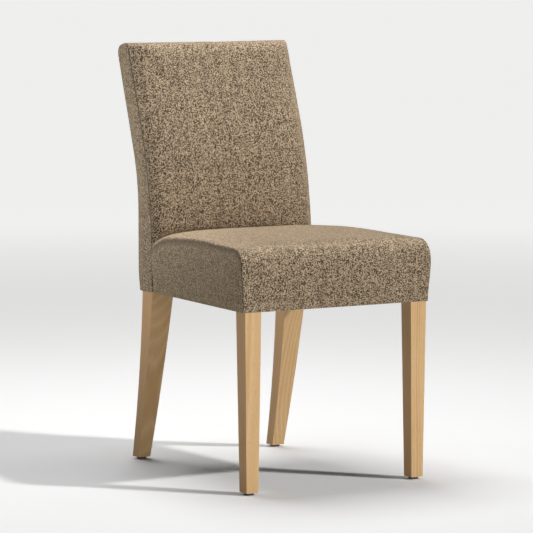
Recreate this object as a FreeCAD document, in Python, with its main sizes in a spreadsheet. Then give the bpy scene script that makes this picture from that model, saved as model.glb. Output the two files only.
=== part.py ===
import FreeCAD, Part
import math
import os
import Sketcher

# Upholstered parsons dining chair.
# Millimetres, +X to the right as seen from the front, +Y to the back, +Z up.
# Left and right in names are as seen from the front.
# The origin is on the floor, under the middle of the overall box.

Vector = FreeCAD.Vector

SIZES = (
    ("glide_height", 5.0, "Height of the nail-on glide under each foot"),
    ("glide_diameter", 20.0, "Glide disc diameter"),
    ("glide_nail_diameter", 2.6, "Glide nail diameter"),
    ("glide_nail_length", 16.0, "Glide nail length above the disc"),
    ("cover_underside", 383.0, "Underside of the upholstery above the floor"),
    ("cover_thickness", 1.5, "Woven cover cloth with its backing"),
    ("fold_width", 20.0, "Cover folded under the rails"),
    ("soft_gap", 0.2, "Clearance between soft layers"),
    ("wadding_thickness", 3.0, "Polyester wadding under the cover"),
    ("wadding_hem", 17.0, "Wadding stops above the cover's lower edge"),
    ("rail_height", 70.0, "Height of the seat rails"),
    ("rail_thickness", 22.0, "Thickness of the seat rails"),
    ("frame_front_half", 222.6, "Half width of the frame across the front legs"),
    ("frame_rear_half", 197.0, "Half width of the frame across the rear posts"),
    ("frame_front", 292.4, "Front face of the front legs ahead of the origin"),
    ("leg_width", 38.5, "Front leg width at the rails"),
    ("leg_depth", 38.0, "Front leg depth at the rails"),
    ("leg_foot_width", 28.4, "Front leg width at the foot"),
    ("leg_foot_depth", 29.8, "Front leg depth at the foot"),
    ("leg_toe_side", 4.8, "Front leg outer side drawn in at the foot"),
    ("leg_toe_front", 2.7, "Front leg front face drawn in at the foot"),
    ("post_front", 156.5, "Front face of the rear posts at the rails"),
    ("post_depth", 45.7, "Rear post depth at the rails"),
    ("post_width", 52.7, "Rear post width at the rails"),
    ("post_foot_width", 29.8, "Rear post width at the foot"),
    ("post_foot_inset", 9.4, "Rear post outer side drawn in at the foot"),
    ("post_foot_front", 242.5, "Front face of the rear foot"),
    ("post_foot_depth", 28.0, "Rear post depth at the foot"),
    ("post_front_sweep", 4450.0, "Radius of the sabre curve on the front face"),
    ("post_rear_sweep", 2400.0, "Radius of the sabre curve on the rear face"),
    ("post_top", 900.0, "Front edge of the post top above the floor"),
    ("post_top_drop", 12.0, "Fall of the post top towards the rear"),
    ("post_margin", 15.5, "Straight part of the post above the rails"),
    ("post_blend", 55.0, "Height over which the post front joins the stile"),
    ("post_bend_radius", 600.0, "Radius of the stile's front bend"),
    ("rear_tuck", 57.0, "Height over which the post rear face joins the stile"),
    ("saw_room", 10.0, "Waste beyond a sawn taper"),
    ("tenon_length", 20.0, "Length of the rail tenons"),
    ("tenon_thickness", 9.0, "Thickness of the rail tenons"),
    ("tenon_shoulder", 9.0, "Shoulder above and below each tenon"),
    ("joint_gap", 0.2, "Clearance round a tenon in its mortise"),
    ("block_reach", 66.0, "Reach of the corner blocks along the rails"),
    ("block_height", 45.0, "Height of the corner blocks"),
    ("bolt_diameter", 5.0, "Corner bolt shank"),
    ("bolt_head_width", 12.0, "Corner bolt head across its corners"),
    ("bolt_head_height", 3.0, "Corner bolt head height"),
    ("bolt_bite", 22.0, "Depth of the bolt in the leg"),
    ("bore_gap", 0.15, "Clearance round a bolt or nail"),
    ("back_rail_thickness", 24.0, "Thickness of the back rails"),
    ("top_rail_height", 62.0, "Height of the back top rail"),
    ("lower_rail_start", 500.0, "Underside of the lower back rail"),
    ("lower_rail_height", 55.0, "Height of the lower back rail"),
    ("strap_width", 50.0, "Webbing width"),
    ("strap_thickness", 1.8, "Webbing thickness"),
    ("strap_gap", 0.15, "Play between crossing straps"),
    ("strap_margin", 4.0, "Strap ends short of the rail's outer face"),
    ("long_strap_pitch", 95.0, "Spacing of the front-to-back straps"),
    ("cross_strap_pitch", 100.0, "Spacing of the side-to-side straps"),
    ("cross_strap_centre", -55.0, "Middle of the side-to-side straps"),
    ("back_strap_first", 600.0, "Height of the lowest back strap"),
    ("back_strap_pitch", 72.0, "Spacing of the back straps"),
    ("back_strap_room", 3.0, "Room for the back straps between posts and foam"),
    ("deck_cloth_thickness", 0.8, "Cloth between webbing and foam"),
    ("dust_cover_thickness", 0.8, "Black cloth under the seat"),
    ("dust_cover_inset", 10.0, "Dust cover inside the frame's outer faces"),
    ("dust_cover_relief", 2.0, "Dust cover clear of the legs"),
    ("front_padding", 9.6, "Seat front ahead of the front legs"),
    ("seat_front_bow", 5.0, "Seat front drawn back at the corners"),
    ("seat_tuck_height", 57.0, "Height of the lower edge's draw-in"),
    ("seat_tuck_radius", 400.0, "Softness of the lower edge's draw-in"),
    ("rear_seam_lead", 9.5, "Seam of the seat and back sides ahead of the posts"),
    ("side_padding", 4.4, "Seat and back sides outside the frame"),
    ("seat_nose_radius", 36.0, "Waterfall radius of the front edge"),
    ("seat_crest", 526.5, "Highest line of the seat, in the middle"),
    ("seat_nose_drop", 5.5, "Front edge below the crest, in the middle"),
    ("seat_crest_y", -60.0, "Place of the highest line"),
    ("seat_haunch_drop", 7.0, "Haunch below the crest, in the middle"),
    ("seat_haunch_y", 90.0, "Place of the haunch"),
    ("seat_tail_drop", 14.5, "Rear seam below the crest, in the middle"),
    ("seat_flat_half", 120.0, "Half width of the evenly crowned middle"),
    ("nose_fall", 5.0, "Fall of the front edge from middle to side"),
    ("crest_fall", 6.0, "Fall of the crest from middle to side"),
    ("haunch_fall", 12.5, "Fall of the haunch from middle to side"),
    ("tail_fall", 32.0, "Fall of the tail from middle to side"),
    ("cheek_bulge", 3.2, "Swell of the seat side panels"),
    ("cheek_inset", 14.0, "Border over which a side panel swells"),
    ("rake", 18.8, "Lean of the upper back from upright, in degrees"),
    ("lower_lean", 2.3, "Lean of the lower back from upright, in degrees"),
    ("front_bend_y", 135.6, "Front bend of the back, where its two lines cross"),
    ("front_bend_z", 639.5, "Height of the front bend"),
    ("front_bend_radius", 976.0, "Radius of the front bend"),
    ("rear_bend_y", 210.5, "Rear bend of the back, where its two lines cross"),
    ("rear_bend_z", 626.0, "Height of the rear bend"),
    ("rear_bend_radius", 435.0, "Radius of the rear bend"),
    ("rear_foot_rise", 42.0, "Height over which the outside back draws in"),
    ("rear_foot_radius", 60.0, "Softness of the outside back's draw-in"),
    ("back_top", 931.5, "Height where the front and top lines of the back cross"),
    ("top_fall", 14.0, "Fall of the top towards the rear, in degrees"),
    ("top_front_radius", 22.0, "Rounding of the top front edge"),
    ("top_rear_radius", 20.0, "Rounding of the top rear edge"),
    ("rear_seam_height", 889.0, "Seam across the outside back"),
    ("back_flat_half", 60.0, "Half width of the evenly crowned inside back"),
    ("back_round", 18.0, "Width of the rounded border of the inside back"),
    ("back_round_front", 15.0, "Depth of the rounded border at the front"),
    ("back_round_top", 9.0, "Depth of the rounded border at the top"),
    ("back_crown", 2.5, "Crown of the inside back"),
    ("back_padding", 30.0, "Foam and cover ahead of the posts"),
    ("back_foot", 470.0, "Lower end of the inside back, behind the seat"),
    ("back_foam_foot", 490.0, "Lower end of the back foam"),
    ("back_seam_gap", 0.3, "Clearance between the back and the seat"),
)

doc = FreeCAD.newDocument("ParsonsChair")
sheet = doc.addObject("Spreadsheet::Sheet", "Sizes")
for row, (alias, number, meaning) in enumerate(SIZES, start=1):
    sheet.set(f"A{row}", meaning)
    sheet.set(f"B{row}", str(number))
    sheet.setAlias(f"B{row}", alias)
doc.recompute()

# Lengths worked out from the sheet, as expressions that features are bound to.
RAIL_UNDER = "(Sizes.cover_underside + Sizes.cover_thickness)"
RAIL_TOP = f"({RAIL_UNDER} + Sizes.rail_height)"
LEG_INNER = "(Sizes.frame_front_half - Sizes.leg_width)"
LEG_REAR = "(Sizes.leg_depth - Sizes.frame_front)"
POST_INNER = "(Sizes.frame_rear_half - Sizes.post_width)"
POST_REAR = "(Sizes.post_front + Sizes.post_depth)"
STILE_REAR = "(Sizes.rear_bend_y - Sizes.cover_thickness - Sizes.soft_gap)"
STILE_FRONT = "(Sizes.front_bend_y + Sizes.back_padding)"
REAR_RAIL_FRONT = f"({POST_REAR} - Sizes.rail_thickness)"
SIDE_SLOPE = (
    f"((Sizes.frame_rear_half - Sizes.frame_front_half) / (Sizes.post_front - {LEG_REAR}))"
)
TENON_LOW = f"({RAIL_UNDER} + Sizes.tenon_shoulder)"
TENON_HIGH = f"({RAIL_TOP} - Sizes.tenon_shoulder)"
RAKE_TAN = "tan(Sizes.rake * 1 deg)"
LEAN_TAN = "tan(Sizes.lower_lean * 1 deg)"
POST_TOP_REAR = "(Sizes.post_top - Sizes.post_top_drop)"
POST_STRAIGHT = f"({RAIL_TOP} + Sizes.post_margin)"
SEAT_FRONT = "(Sizes.frame_front + Sizes.front_padding)"
SEAT_REAR = "(Sizes.post_front - Sizes.rear_seam_lead)"

SIDES = (("left", -1), ("right", 1))


def value(expression):
    result = sheet.evalExpression(expression)
    return float(getattr(result, "Value", result))


def size(alias):
    return float(sheet.get(alias))


def side_rail_outer(y):
    """Outer face of the side rails at y, as an expression."""
    return f"(Sizes.frame_front_half + {SIDE_SLOPE} * (({y}) - {LEG_REAR}))"


def front_line(z, shift="0"):
    """Straight upper line of the inside back at height z, as an expression."""
    return f"(Sizes.front_bend_y + {shift} + {RAKE_TAN} * (({z}) - Sizes.front_bend_z))"


def front_low_line(z, shift="0"):
    return f"(Sizes.front_bend_y + {shift} + {LEAN_TAN} * (({z}) - Sizes.front_bend_z))"


# Outlines: corners joined by straight lines, some with a tangent arc.

def corner_arcs(points, radii):
    """Start, middle and end of the arc at each corner of a closed outline."""
    arcs = []
    count = len(points)
    for index, (point, radius) in enumerate(zip(points, radii)):
        here = Vector(point[0], point[1], 0)
        back = Vector(*points[index - 1], 0) - here
        ahead = Vector(*points[(index + 1) % count], 0) - here
        back.normalize()
        ahead.normalize()
        if not radius:
            arcs.append((here, here, here))
            continue
        half = back.getAngle(ahead) / 2
        reach = radius / math.tan(half)
        middle = back + ahead
        middle.normalize()
        depth = radius / math.sin(half) - radius
        arcs.append((here + back * reach, here + middle * depth, here + ahead * reach))
    return arcs


def inset_outline(points, insets):
    """Move each edge of an anticlockwise outline inward by its own distance."""
    lines = []
    count = len(points)
    for index, inset in enumerate(insets):
        start = Vector(*points[index], 0)
        along = Vector(*points[(index + 1) % count], 0) - start
        along.normalize()
        inward = Vector(-along.y, along.x, 0)
        lines.append((start + inward * inset, along))
    moved = []
    for index in range(count):
        first, first_way = lines[index - 1]
        second, second_way = lines[index]
        gap = second - first
        cross = first_way.x * second_way.y - first_way.y * second_way.x
        step = (gap.x * second_way.y - gap.y * second_way.x) / cross
        corner = first + first_way * step
        moved.append((corner.x, corner.y))
    return moved


def outline_wire(points, radii, place):
    """Wire of lines and arcs; place turns outline coordinates into a point in space."""
    arcs = corner_arcs(points, radii)
    edges = []
    for index, (start, middle, end) in enumerate(arcs):
        if radii[index]:
            edges.append(Part.Arc(place(start), place(middle), place(end)).toShape())
        following = arcs[(index + 1) % len(arcs)][0]
        edges.append(Part.LineSegment(place(end), place(following)).toShape())
    return Part.Wire(edges)


def across(x):
    """Place an outline of (y, z) in the upright plane at x."""
    return lambda point: Vector(x, point.x, point.y)


def prism(points, radii, start, end):
    """Solid from an outline of (y, z), between two values of x."""
    face = Part.Face(outline_wire(points, radii, across(start)))
    return face.extrude(Vector(end - start, 0, 0))


# Document helpers.

def new_body(name):
    body = doc.addObject("PartDesign::Body", name)
    body.Label = name
    return body


def closed_sketch(body, name, role, corners, offset=None):
    """Sketch on an origin plane. Each corner is two expressions and perhaps a radius."""
    sketch = body.newObject("Sketcher::SketchObject", name)
    planes = [item for item in body.Origin.OriginFeatures if item.Role == role]
    sketch.AttachmentSupport = [(planes[0], "")]
    sketch.MapMode = "FlatFace"
    if offset:
        sketch.setExpression("AttachmentOffset.Base.z", offset)
    points = [(value(corner[0]), value(corner[1])) for corner in corners]
    radii = [value(corner[2]) if len(corner) > 2 else 0.0 for corner in corners]
    arcs = corner_arcs(points, radii)
    count = len(corners)
    for index in range(count):
        start = arcs[index][2]
        end = arcs[(index + 1) % count][0]
        sketch.addGeometry(Part.LineSegment(start, end), False)
    for index, corner in enumerate(corners):
        before = (index - 1) % count
        if radii[index]:
            geometry, point = round_corner(sketch, arcs[index], before, index)
            radius = sketch.addConstraint(
                Sketcher.Constraint("Radius", geometry, radii[index]))
            sketch.setExpression(f"Constraints[{radius}]", corner[2])
            anchor = (point, 1)
        else:
            sketch.addConstraint(Sketcher.Constraint("Coincident", before, 2, index, 1))
            anchor = (index, 1)
        for kind, number, text in (
            ("DistanceX", points[index][0], corner[0]),
            ("DistanceY", points[index][1], corner[1]),
        ):
            place = sketch.addConstraint(
                Sketcher.Constraint(kind, -1, 1, anchor[0], anchor[1], number))
            sketch.setExpression(f"Constraints[{place}]", text)
    return sketch


def round_corner(sketch, arc, before, after):
    """Arc tangent to two lines of a sketch, with the corner they would meet in."""
    start, middle, end = arc
    curve = Part.Arc(start, middle, end)
    geometry = sketch.addGeometry(curve, False)
    turn = (middle - start).cross(end - middle).z
    first, last = (1, 2) if turn > 0 else (2, 1)
    sketch.addConstraint(Sketcher.Constraint("Tangent", before, 2, geometry, first))
    sketch.addConstraint(Sketcher.Constraint("Tangent", geometry, last, after, 1))
    line_before = sketch.Geometry[before]
    line_after = sketch.Geometry[after]
    corner = line_crossing(line_before, line_after)
    point = sketch.addGeometry(Part.Point(corner), True)
    sketch.addConstraint(Sketcher.Constraint("PointOnObject", point, 1, before))
    sketch.addConstraint(Sketcher.Constraint("PointOnObject", point, 1, after))
    return geometry, point


def line_crossing(first, second):
    way = first.EndPoint - first.StartPoint
    other = second.EndPoint - second.StartPoint
    gap = second.StartPoint - first.StartPoint
    step = (gap.x * other.y - gap.y * other.x) / (way.x * other.y - way.y * other.x)
    return first.StartPoint + way * step


def pad(body, name, sketch, length, symmetric=False, reverse=False):
    feature = body.newObject("PartDesign::Pad", name)
    feature.Profile = sketch
    feature.setExpression("Length", length)
    feature.Reversed = reverse
    if symmetric:
        feature.SideType = "Symmetric"
    return feature


def pocket(body, name, sketch, length, reverse=False):
    feature = body.newObject("PartDesign::Pocket", name)
    feature.Profile = sketch
    feature.setExpression("Length", length)
    feature.Reversed = reverse
    return feature


def saw_through(body, name, sketch):
    """Pocket through the whole piece, both ways from its sketch."""
    feature = body.newObject("PartDesign::Pocket", name)
    feature.Profile = sketch
    feature.Type = "ThroughAll"
    feature.SideType = "Symmetric"
    return feature


def rectangle(low_a, high_a, low_b, high_b):
    return ((low_a, low_b), (high_a, low_b), (high_a, high_b), (low_a, high_b))


def mirrored(side, corners):
    """The same outline on the other side of the chair: sketch x is multiplied by side."""
    return [(f"{side} * ({corner[0]})", *corner[1:]) for corner in corners]


def solid_feature(name, shape):
    feature = doc.addObject("Part::Feature", name)
    feature.Label = name
    feature.Shape = shape
    return feature


def cut_feature(name, base, tool):
    feature = doc.addObject("Part::Cut", name)
    feature.Label = name
    feature.Base = base
    feature.Tool = tool
    return feature


# Front legs: a tapered square leg with a straight block for the rails.

def saw_tapers(body, name, side, outer, inner, foot_outer, foot_inner):
    """Saw the outer and inner sides of a leg to a taper below the rails."""
    beyond = f"({outer} + Sizes.saw_room)"
    before = f"({inner} - Sizes.saw_room)"
    for cut, corners in (
        ("outer", ((foot_outer, "Sizes.glide_height"), (beyond, "Sizes.glide_height"),
                   (beyond, "Sizes.cover_underside"), (outer, "Sizes.cover_underside"))),
        ("inner", ((before, "Sizes.glide_height"), (foot_inner, "Sizes.glide_height"),
                   (inner, "Sizes.cover_underside"), (before, "Sizes.cover_underside"))),
    ):
        taper = closed_sketch(body, f"{name}_{cut}_taper", "XZ_Plane", mirrored(side, corners))
        saw_through(body, f"{name}_{cut}_saw", taper)


def front_leg(name, side):
    body = new_body(name)
    foot_outer = "(Sizes.frame_front_half - Sizes.leg_toe_side)"
    foot_front = "(Sizes.leg_toe_front - Sizes.frame_front)"
    profile = closed_sketch(body, f"{name}_profile", "YZ_Plane", (
        (foot_front, "Sizes.glide_height"),
        (f"{foot_front} + Sizes.leg_foot_depth", "Sizes.glide_height"),
        (LEG_REAR, "Sizes.cover_underside"),
        (LEG_REAR, RAIL_TOP),
        ("-Sizes.frame_front", RAIL_TOP),
        ("-Sizes.frame_front", "Sizes.cover_underside"),
    ), f"{side} * Sizes.frame_front_half")
    pad(body, f"{name}_plank", profile, "Sizes.leg_width", reverse=side > 0)
    saw_tapers(body, name, side, "Sizes.frame_front_half", LEG_INNER,
               foot_outer, f"({foot_outer} - Sizes.leg_foot_width)")
    mortise_side = closed_sketch(body, f"{name}_front_mortise", "YZ_Plane", rectangle(
        f"{front_rail_middle()} - {half_mortise()}", f"{front_rail_middle()} + {half_mortise()}",
        f"{TENON_LOW} - Sizes.joint_gap", f"{TENON_HIGH} + Sizes.joint_gap"),
        f"{side} * {LEG_INNER}")
    pocket(body, f"{name}_front_socket", mortise_side, mortise_depth(), reverse=side > 0)
    mortise_rear = closed_sketch(body, f"{name}_side_mortise", "XZ_Plane", mirrored(
        side, rectangle(
            f"{side_rail_middle(LEG_REAR)} - {half_mortise()}",
            f"{side_rail_middle(LEG_REAR)} + {half_mortise()}",
            f"{TENON_LOW} - Sizes.joint_gap", f"{TENON_HIGH} + Sizes.joint_gap")),
        f"-{LEG_REAR}")
    pocket(body, f"{name}_side_socket", mortise_rear, mortise_depth(), reverse=True)
    nail_hole(body, name, side, f"{foot_outer} - Sizes.leg_foot_width / 2",
              f"{foot_front} + Sizes.leg_foot_depth / 2")
    return body


def front_rail_middle():
    return "(Sizes.rail_thickness / 2 - Sizes.frame_front)"


def side_rail_middle(y):
    return f"({side_rail_outer(y)} - Sizes.rail_thickness / 2)"


def half_mortise():
    return "(Sizes.tenon_thickness / 2 + Sizes.joint_gap)"


def mortise_depth():
    return "Sizes.tenon_length + Sizes.joint_gap"


def nail_hole(body, name, side, x, y):
    """Pilot hole for the glide nail, up from the foot."""
    sketch = body.newObject("Sketcher::SketchObject", f"{name}_pilot")
    planes = [item for item in body.Origin.OriginFeatures if item.Role == "XY_Plane"]
    sketch.AttachmentSupport = [(planes[0], "")]
    sketch.MapMode = "FlatFace"
    sketch.setExpression("AttachmentOffset.Base.z", "Sizes.glide_height")
    radius_text = "Sizes.glide_nail_diameter / 2 + Sizes.bore_gap"
    x_text = f"{side} * ({x})"
    centre = Vector(value(x_text), value(y), 0)
    circle = sketch.addGeometry(Part.Circle(centre, Vector(0, 0, 1), value(radius_text)), False)
    for constraint, text in (
        (Sketcher.Constraint("Radius", circle, value(radius_text)), radius_text),
        (Sketcher.Constraint("DistanceX", -1, 1, circle, 3, centre.x), x_text),
        (Sketcher.Constraint("DistanceY", -1, 1, circle, 3, centre.y), y),
    ):
        index = sketch.addConstraint(constraint)
        sketch.setExpression(f"Constraints[{index}]", text)
    pocket(body, f"{name}_nail_hole", sketch, "Sizes.glide_nail_length + Sizes.bore_gap",
           reverse=True)


# Rear posts: sabre leg and back stile sawn from one plank.

def rear_post(name, side):
    body = new_body(name)
    foot_front = "Sizes.post_foot_front"
    foot_rear = "(Sizes.post_foot_front + Sizes.post_foot_depth)"
    top_front = front_line("Sizes.post_top", "Sizes.back_padding")
    top_rear = f"({STILE_REAR} + {RAKE_TAN} * ({POST_TOP_REAR} - Sizes.rear_bend_z))"
    sweep_front = sweep_corner("Sizes.post_front", foot_front, "Sizes.post_front_sweep")
    sweep_rear = sweep_corner(POST_REAR, foot_rear, "Sizes.post_rear_sweep")
    profile = closed_sketch(body, f"{name}_profile", "YZ_Plane", (
        (foot_front, "Sizes.glide_height"),
        (foot_rear, "Sizes.glide_height"),
        sweep_rear,
        (POST_REAR, "Sizes.cover_underside"),
        (STILE_REAR, "Sizes.cover_underside + Sizes.rear_tuck"),
        (STILE_REAR, "Sizes.rear_bend_z", "Sizes.rear_bend_radius"),
        (top_rear, POST_TOP_REAR),
        (top_front, "Sizes.post_top"),
        (STILE_FRONT, "Sizes.front_bend_z", "Sizes.post_bend_radius"),
        (front_low_line(f"{POST_STRAIGHT} + Sizes.post_blend", "Sizes.back_padding"),
         f"{POST_STRAIGHT} + Sizes.post_blend"),
        ("Sizes.post_front", POST_STRAIGHT),
        ("Sizes.post_front", "Sizes.cover_underside"),
        sweep_front,
    ), f"{side} * Sizes.frame_rear_half")
    pad(body, f"{name}_plank", profile, "Sizes.post_width", reverse=side > 0)
    foot_outer = "(Sizes.frame_rear_half - Sizes.post_foot_inset)"
    saw_tapers(body, name, side, "Sizes.frame_rear_half", POST_INNER,
               foot_outer, f"({foot_outer} - Sizes.post_foot_width)")
    mortise = closed_sketch(body, f"{name}_side_mortise", "XZ_Plane", mirrored(
        side, rectangle(
            f"{side_rail_middle('Sizes.post_front')} - {half_mortise()}",
            f"{side_rail_middle('Sizes.post_front')} + {half_mortise()}",
            f"{TENON_LOW} - Sizes.joint_gap", f"{TENON_HIGH} + Sizes.joint_gap")),
        "-Sizes.post_front")
    pocket(body, f"{name}_side_socket", mortise, mortise_depth())
    for rail, corners in (
        ("rear", rear_rail_tenon("Sizes.joint_gap")),
        ("lower", lower_rail_tenon("Sizes.joint_gap")),
        ("top", top_rail_tenon("Sizes.joint_gap")),
    ):
        sketch = closed_sketch(body, f"{name}_{rail}_mortise", "YZ_Plane", corners,
                               f"{side} * {POST_INNER}")
        pocket(body, f"{name}_{rail}_socket", sketch, mortise_depth(), reverse=side > 0)
    nail_hole(body, name, side, f"{foot_outer} - Sizes.post_foot_width / 2",
              "Sizes.post_foot_front + Sizes.post_foot_depth / 2")
    return body


def sweep_corner(top_y, foot_y, radius):
    """Corner of the two tangents at the ends of a sabre curve of the given radius."""
    rise = "(Sizes.cover_underside - Sizes.glide_height)"
    run = f"({foot_y} - {top_y})"
    half_chord = f"(sqrt({rise}^2 + {run}^2) / 2)"
    drop = f"({half_chord}^2 / sqrt({radius}^2 - {half_chord}^2))"
    y = f"(({foot_y} + {top_y}) / 2 - {drop} * {rise} / (2 * {half_chord}))"
    z = ("((Sizes.cover_underside + Sizes.glide_height) / 2"
         f" - {drop} * {run} / (2 * {half_chord}))")
    return (y, z, f"{radius} * 0.999")


# Seat rails, with tenons.

def rear_rail_tenon(gap="0"):
    middle = f"({POST_REAR} - Sizes.rail_thickness / 2)"
    half = f"(Sizes.tenon_thickness / 2 + {gap})"
    return rectangle(f"{middle} - {half}", f"{middle} + {half}",
                     f"{TENON_LOW} - {gap}", f"{TENON_HIGH} + {gap}")


def straight_rail(name, front, rear, half_length, tenon):
    """Rail along X between two legs, with a tenon at each end."""
    body = new_body(name)
    section = closed_sketch(body, f"{name}_section", "YZ_Plane",
                            rectangle(front, rear, RAIL_UNDER, RAIL_TOP))
    pad(body, f"{name}_length", section, f"2 * {half_length}", symmetric=True)
    tongue = closed_sketch(body, f"{name}_tenon_section", "YZ_Plane", tenon)
    pad(body, f"{name}_tenons", tongue, f"2 * ({half_length} + Sizes.tenon_length)",
        symmetric=True)
    return body


def side_rail(name, side):
    """Tapering frame: the rail runs at a slight angle between leg and post."""
    body = new_body(name)
    plan = closed_sketch(body, f"{name}_plan", "XY_Plane", mirrored(side, (
        (f"{side_rail_outer(LEG_REAR)} - Sizes.rail_thickness", LEG_REAR),
        (side_rail_outer(LEG_REAR), LEG_REAR),
        (side_rail_outer("Sizes.post_front"), "Sizes.post_front"),
        (f"{side_rail_outer('Sizes.post_front')} - Sizes.rail_thickness",
         "Sizes.post_front"))), RAIL_UNDER)
    pad(body, f"{name}_height", plan, "Sizes.rail_height")
    for end, face, reach in (("front", LEG_REAR, "-Sizes.tenon_length"),
                             ("rear", "Sizes.post_front", "Sizes.tenon_length")):
        middle = side_rail_middle(face)
        tongue = closed_sketch(body, f"{name}_{end}_tenon_plan", "XY_Plane", mirrored(side, (
            (f"{middle} - Sizes.tenon_thickness / 2", face),
            (f"{middle} + Sizes.tenon_thickness / 2", face),
            (f"{middle} + Sizes.tenon_thickness / 2", f"{face} + {reach}"),
            (f"{middle} - Sizes.tenon_thickness / 2", f"{face} + {reach}"))), TENON_LOW)
        pad(body, f"{name}_{end}_tenon", tongue, f"{TENON_HIGH} - {TENON_LOW}")
    return body


# Back rails: they follow the stiles' front line.

def slanted_section(start, height, lean, shift, margin="0", gap="0"):
    """Corners of a rail section that stands on a leaning line."""
    y, z = start
    up = f"(({height}) - 2 * ({margin}) + 2 * ({gap}))"
    deep = f"(Sizes.back_rail_thickness - 2 * ({shift}) + 2 * ({gap}))"
    foot = f"(({margin}) - ({gap}))"
    into = f"(({shift}) - ({gap}))"
    sine = f"sin({lean} * 1 deg)"
    cosine = f"cos({lean} * 1 deg)"
    corners = []
    for along, across_rail in ((foot, into), (foot, f"({into} + {deep})"),
                               (f"({foot} + {up})", f"({into} + {deep})"),
                               (f"({foot} + {up})", into)):
        corners.append((f"{y} + {along} * {sine} + {across_rail} * {cosine}",
                        f"{z} + {along} * {cosine} - {across_rail} * {sine}"))
    return corners


def tenon_shift():
    return "((Sizes.back_rail_thickness - Sizes.tenon_thickness) / 2)"


def lower_rail_start():
    return (front_low_line("Sizes.lower_rail_start", "Sizes.back_padding + 1"),
            "Sizes.lower_rail_start")


def top_rail_start():
    z = "(Sizes.post_top - Sizes.top_rail_height)"
    return (front_line(z, "Sizes.back_padding + 1"), z)


def lower_rail_tenon(gap="0"):
    return slanted_section(lower_rail_start(), "Sizes.lower_rail_height", "Sizes.lower_lean",
                           tenon_shift(), "Sizes.tenon_shoulder", gap)


def top_rail_tenon(gap="0"):
    return slanted_section(top_rail_start(), "Sizes.top_rail_height", "Sizes.rake",
                           tenon_shift(), "Sizes.tenon_shoulder", gap)


def back_rail(name, section, tenon):
    body = new_body(name)
    shape = closed_sketch(body, f"{name}_section", "YZ_Plane", section)
    pad(body, f"{name}_length", shape, f"2 * {POST_INNER}", symmetric=True)
    tongue = closed_sketch(body, f"{name}_tenon_section", "YZ_Plane", tenon)
    pad(body, f"{name}_tenons", tongue, f"2 * ({POST_INNER} + Sizes.tenon_length)",
        symmetric=True)
    return body


# Corner blocks, notched round the leg or post, and the bolts that draw the leg in.

def front_block(name, side):
    body = new_body(name)
    inner = f"({side_rail_outer(LEG_REAR)} - Sizes.rail_thickness)"
    far_y = f"({LEG_REAR} + Sizes.block_reach)"
    rail_face = "(Sizes.rail_thickness - Sizes.frame_front)"
    plan = closed_sketch(body, f"{name}_plan", "XY_Plane", mirrored(side, (
        (f"{LEG_INNER} - Sizes.block_reach", rail_face),
        (LEG_INNER, rail_face),
        (LEG_INNER, LEG_REAR),
        (inner, LEG_REAR),
        (f"({side_rail_outer(far_y)} - Sizes.rail_thickness)", far_y))), block_start())
    pad(body, f"{name}_height", plan, "Sizes.block_height")
    return body


def rear_block(name, side):
    body = new_body(name)
    inner = f"({side_rail_outer('Sizes.post_front')} - Sizes.rail_thickness)"
    far_y = "(Sizes.post_front - Sizes.block_reach)"
    plan = closed_sketch(body, f"{name}_plan", "XY_Plane", mirrored(side, (
        (f"({side_rail_outer(far_y)} - Sizes.rail_thickness)", far_y),
        (inner, "Sizes.post_front"),
        (POST_INNER, "Sizes.post_front"),
        (POST_INNER, REAR_RAIL_FRONT),
        (f"{POST_INNER} - Sizes.block_reach", REAR_RAIL_FRONT))), block_start())
    pad(body, f"{name}_height", plan, "Sizes.block_height")
    return body


def block_start():
    return f"{RAIL_TOP} - (Sizes.rail_height + Sizes.block_height) / 2"


def bolt_places():
    """Seat of each right-hand bolt on its block, direction to the leg, block thickness."""
    reach = size("block_reach")
    leg = Vector(value(LEG_INNER), value(LEG_REAR), 0)
    front_y = leg.y + reach
    post = Vector(value(POST_INNER), size("post_front"), 0)
    rear_y = post.y - reach
    faces = (
        (leg, Vector(leg.x - reach, value("Sizes.rail_thickness - Sizes.frame_front"), 0),
         Vector(value(side_rail_outer(str(front_y))) - size("rail_thickness"), front_y, 0)),
        (post, Vector(post.x - reach, value(REAR_RAIL_FRONT), 0),
         Vector(value(side_rail_outer(str(rear_y))) - size("rail_thickness"), rear_y, 0)),
    )
    height = Vector(0, 0, value(RAIL_TOP) - size("rail_height") / 2)
    places = []
    for corner, start, end in faces:
        along = end - start
        along.normalize()
        seat = start + along * along.dot(corner - start)
        places.append((seat + height, corner - seat, (corner - seat).Length))
    return places


def bolt_solid(thickness, gap):
    """Hexagon-headed bolt along +Z; a gap turns it into the bore it sits in."""
    shank = Part.makeCylinder(size("bolt_diameter") / 2 + gap,
                              thickness + size("bolt_bite") + gap)
    if gap:
        return shank
    corners = [Vector(size("bolt_head_width") / 2 * math.cos(index * math.pi / 3),
                      size("bolt_head_width") / 2 * math.sin(index * math.pi / 3), 0)
               for index in range(7)]
    head = Part.Face(Part.makePolygon(corners)).extrude(Vector(0, 0, -size("bolt_head_height")))
    return shank.fuse(head)


def bolt_set(gap):
    bolts = []
    for side_name, side in SIDES:
        for seat, way, thickness in bolt_places():
            bolt = bolt_solid(thickness, gap)
            bolt.Placement = FreeCAD.Placement(
                Vector(seat.x * side, seat.y, seat.z),
                FreeCAD.Rotation(Vector(0, 0, 1), Vector(way.x * side, way.y, 0)))
            bolts.append(bolt)
    return bolts


# Glides: a plastic disc with a nail, turned about its own axis.

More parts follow.
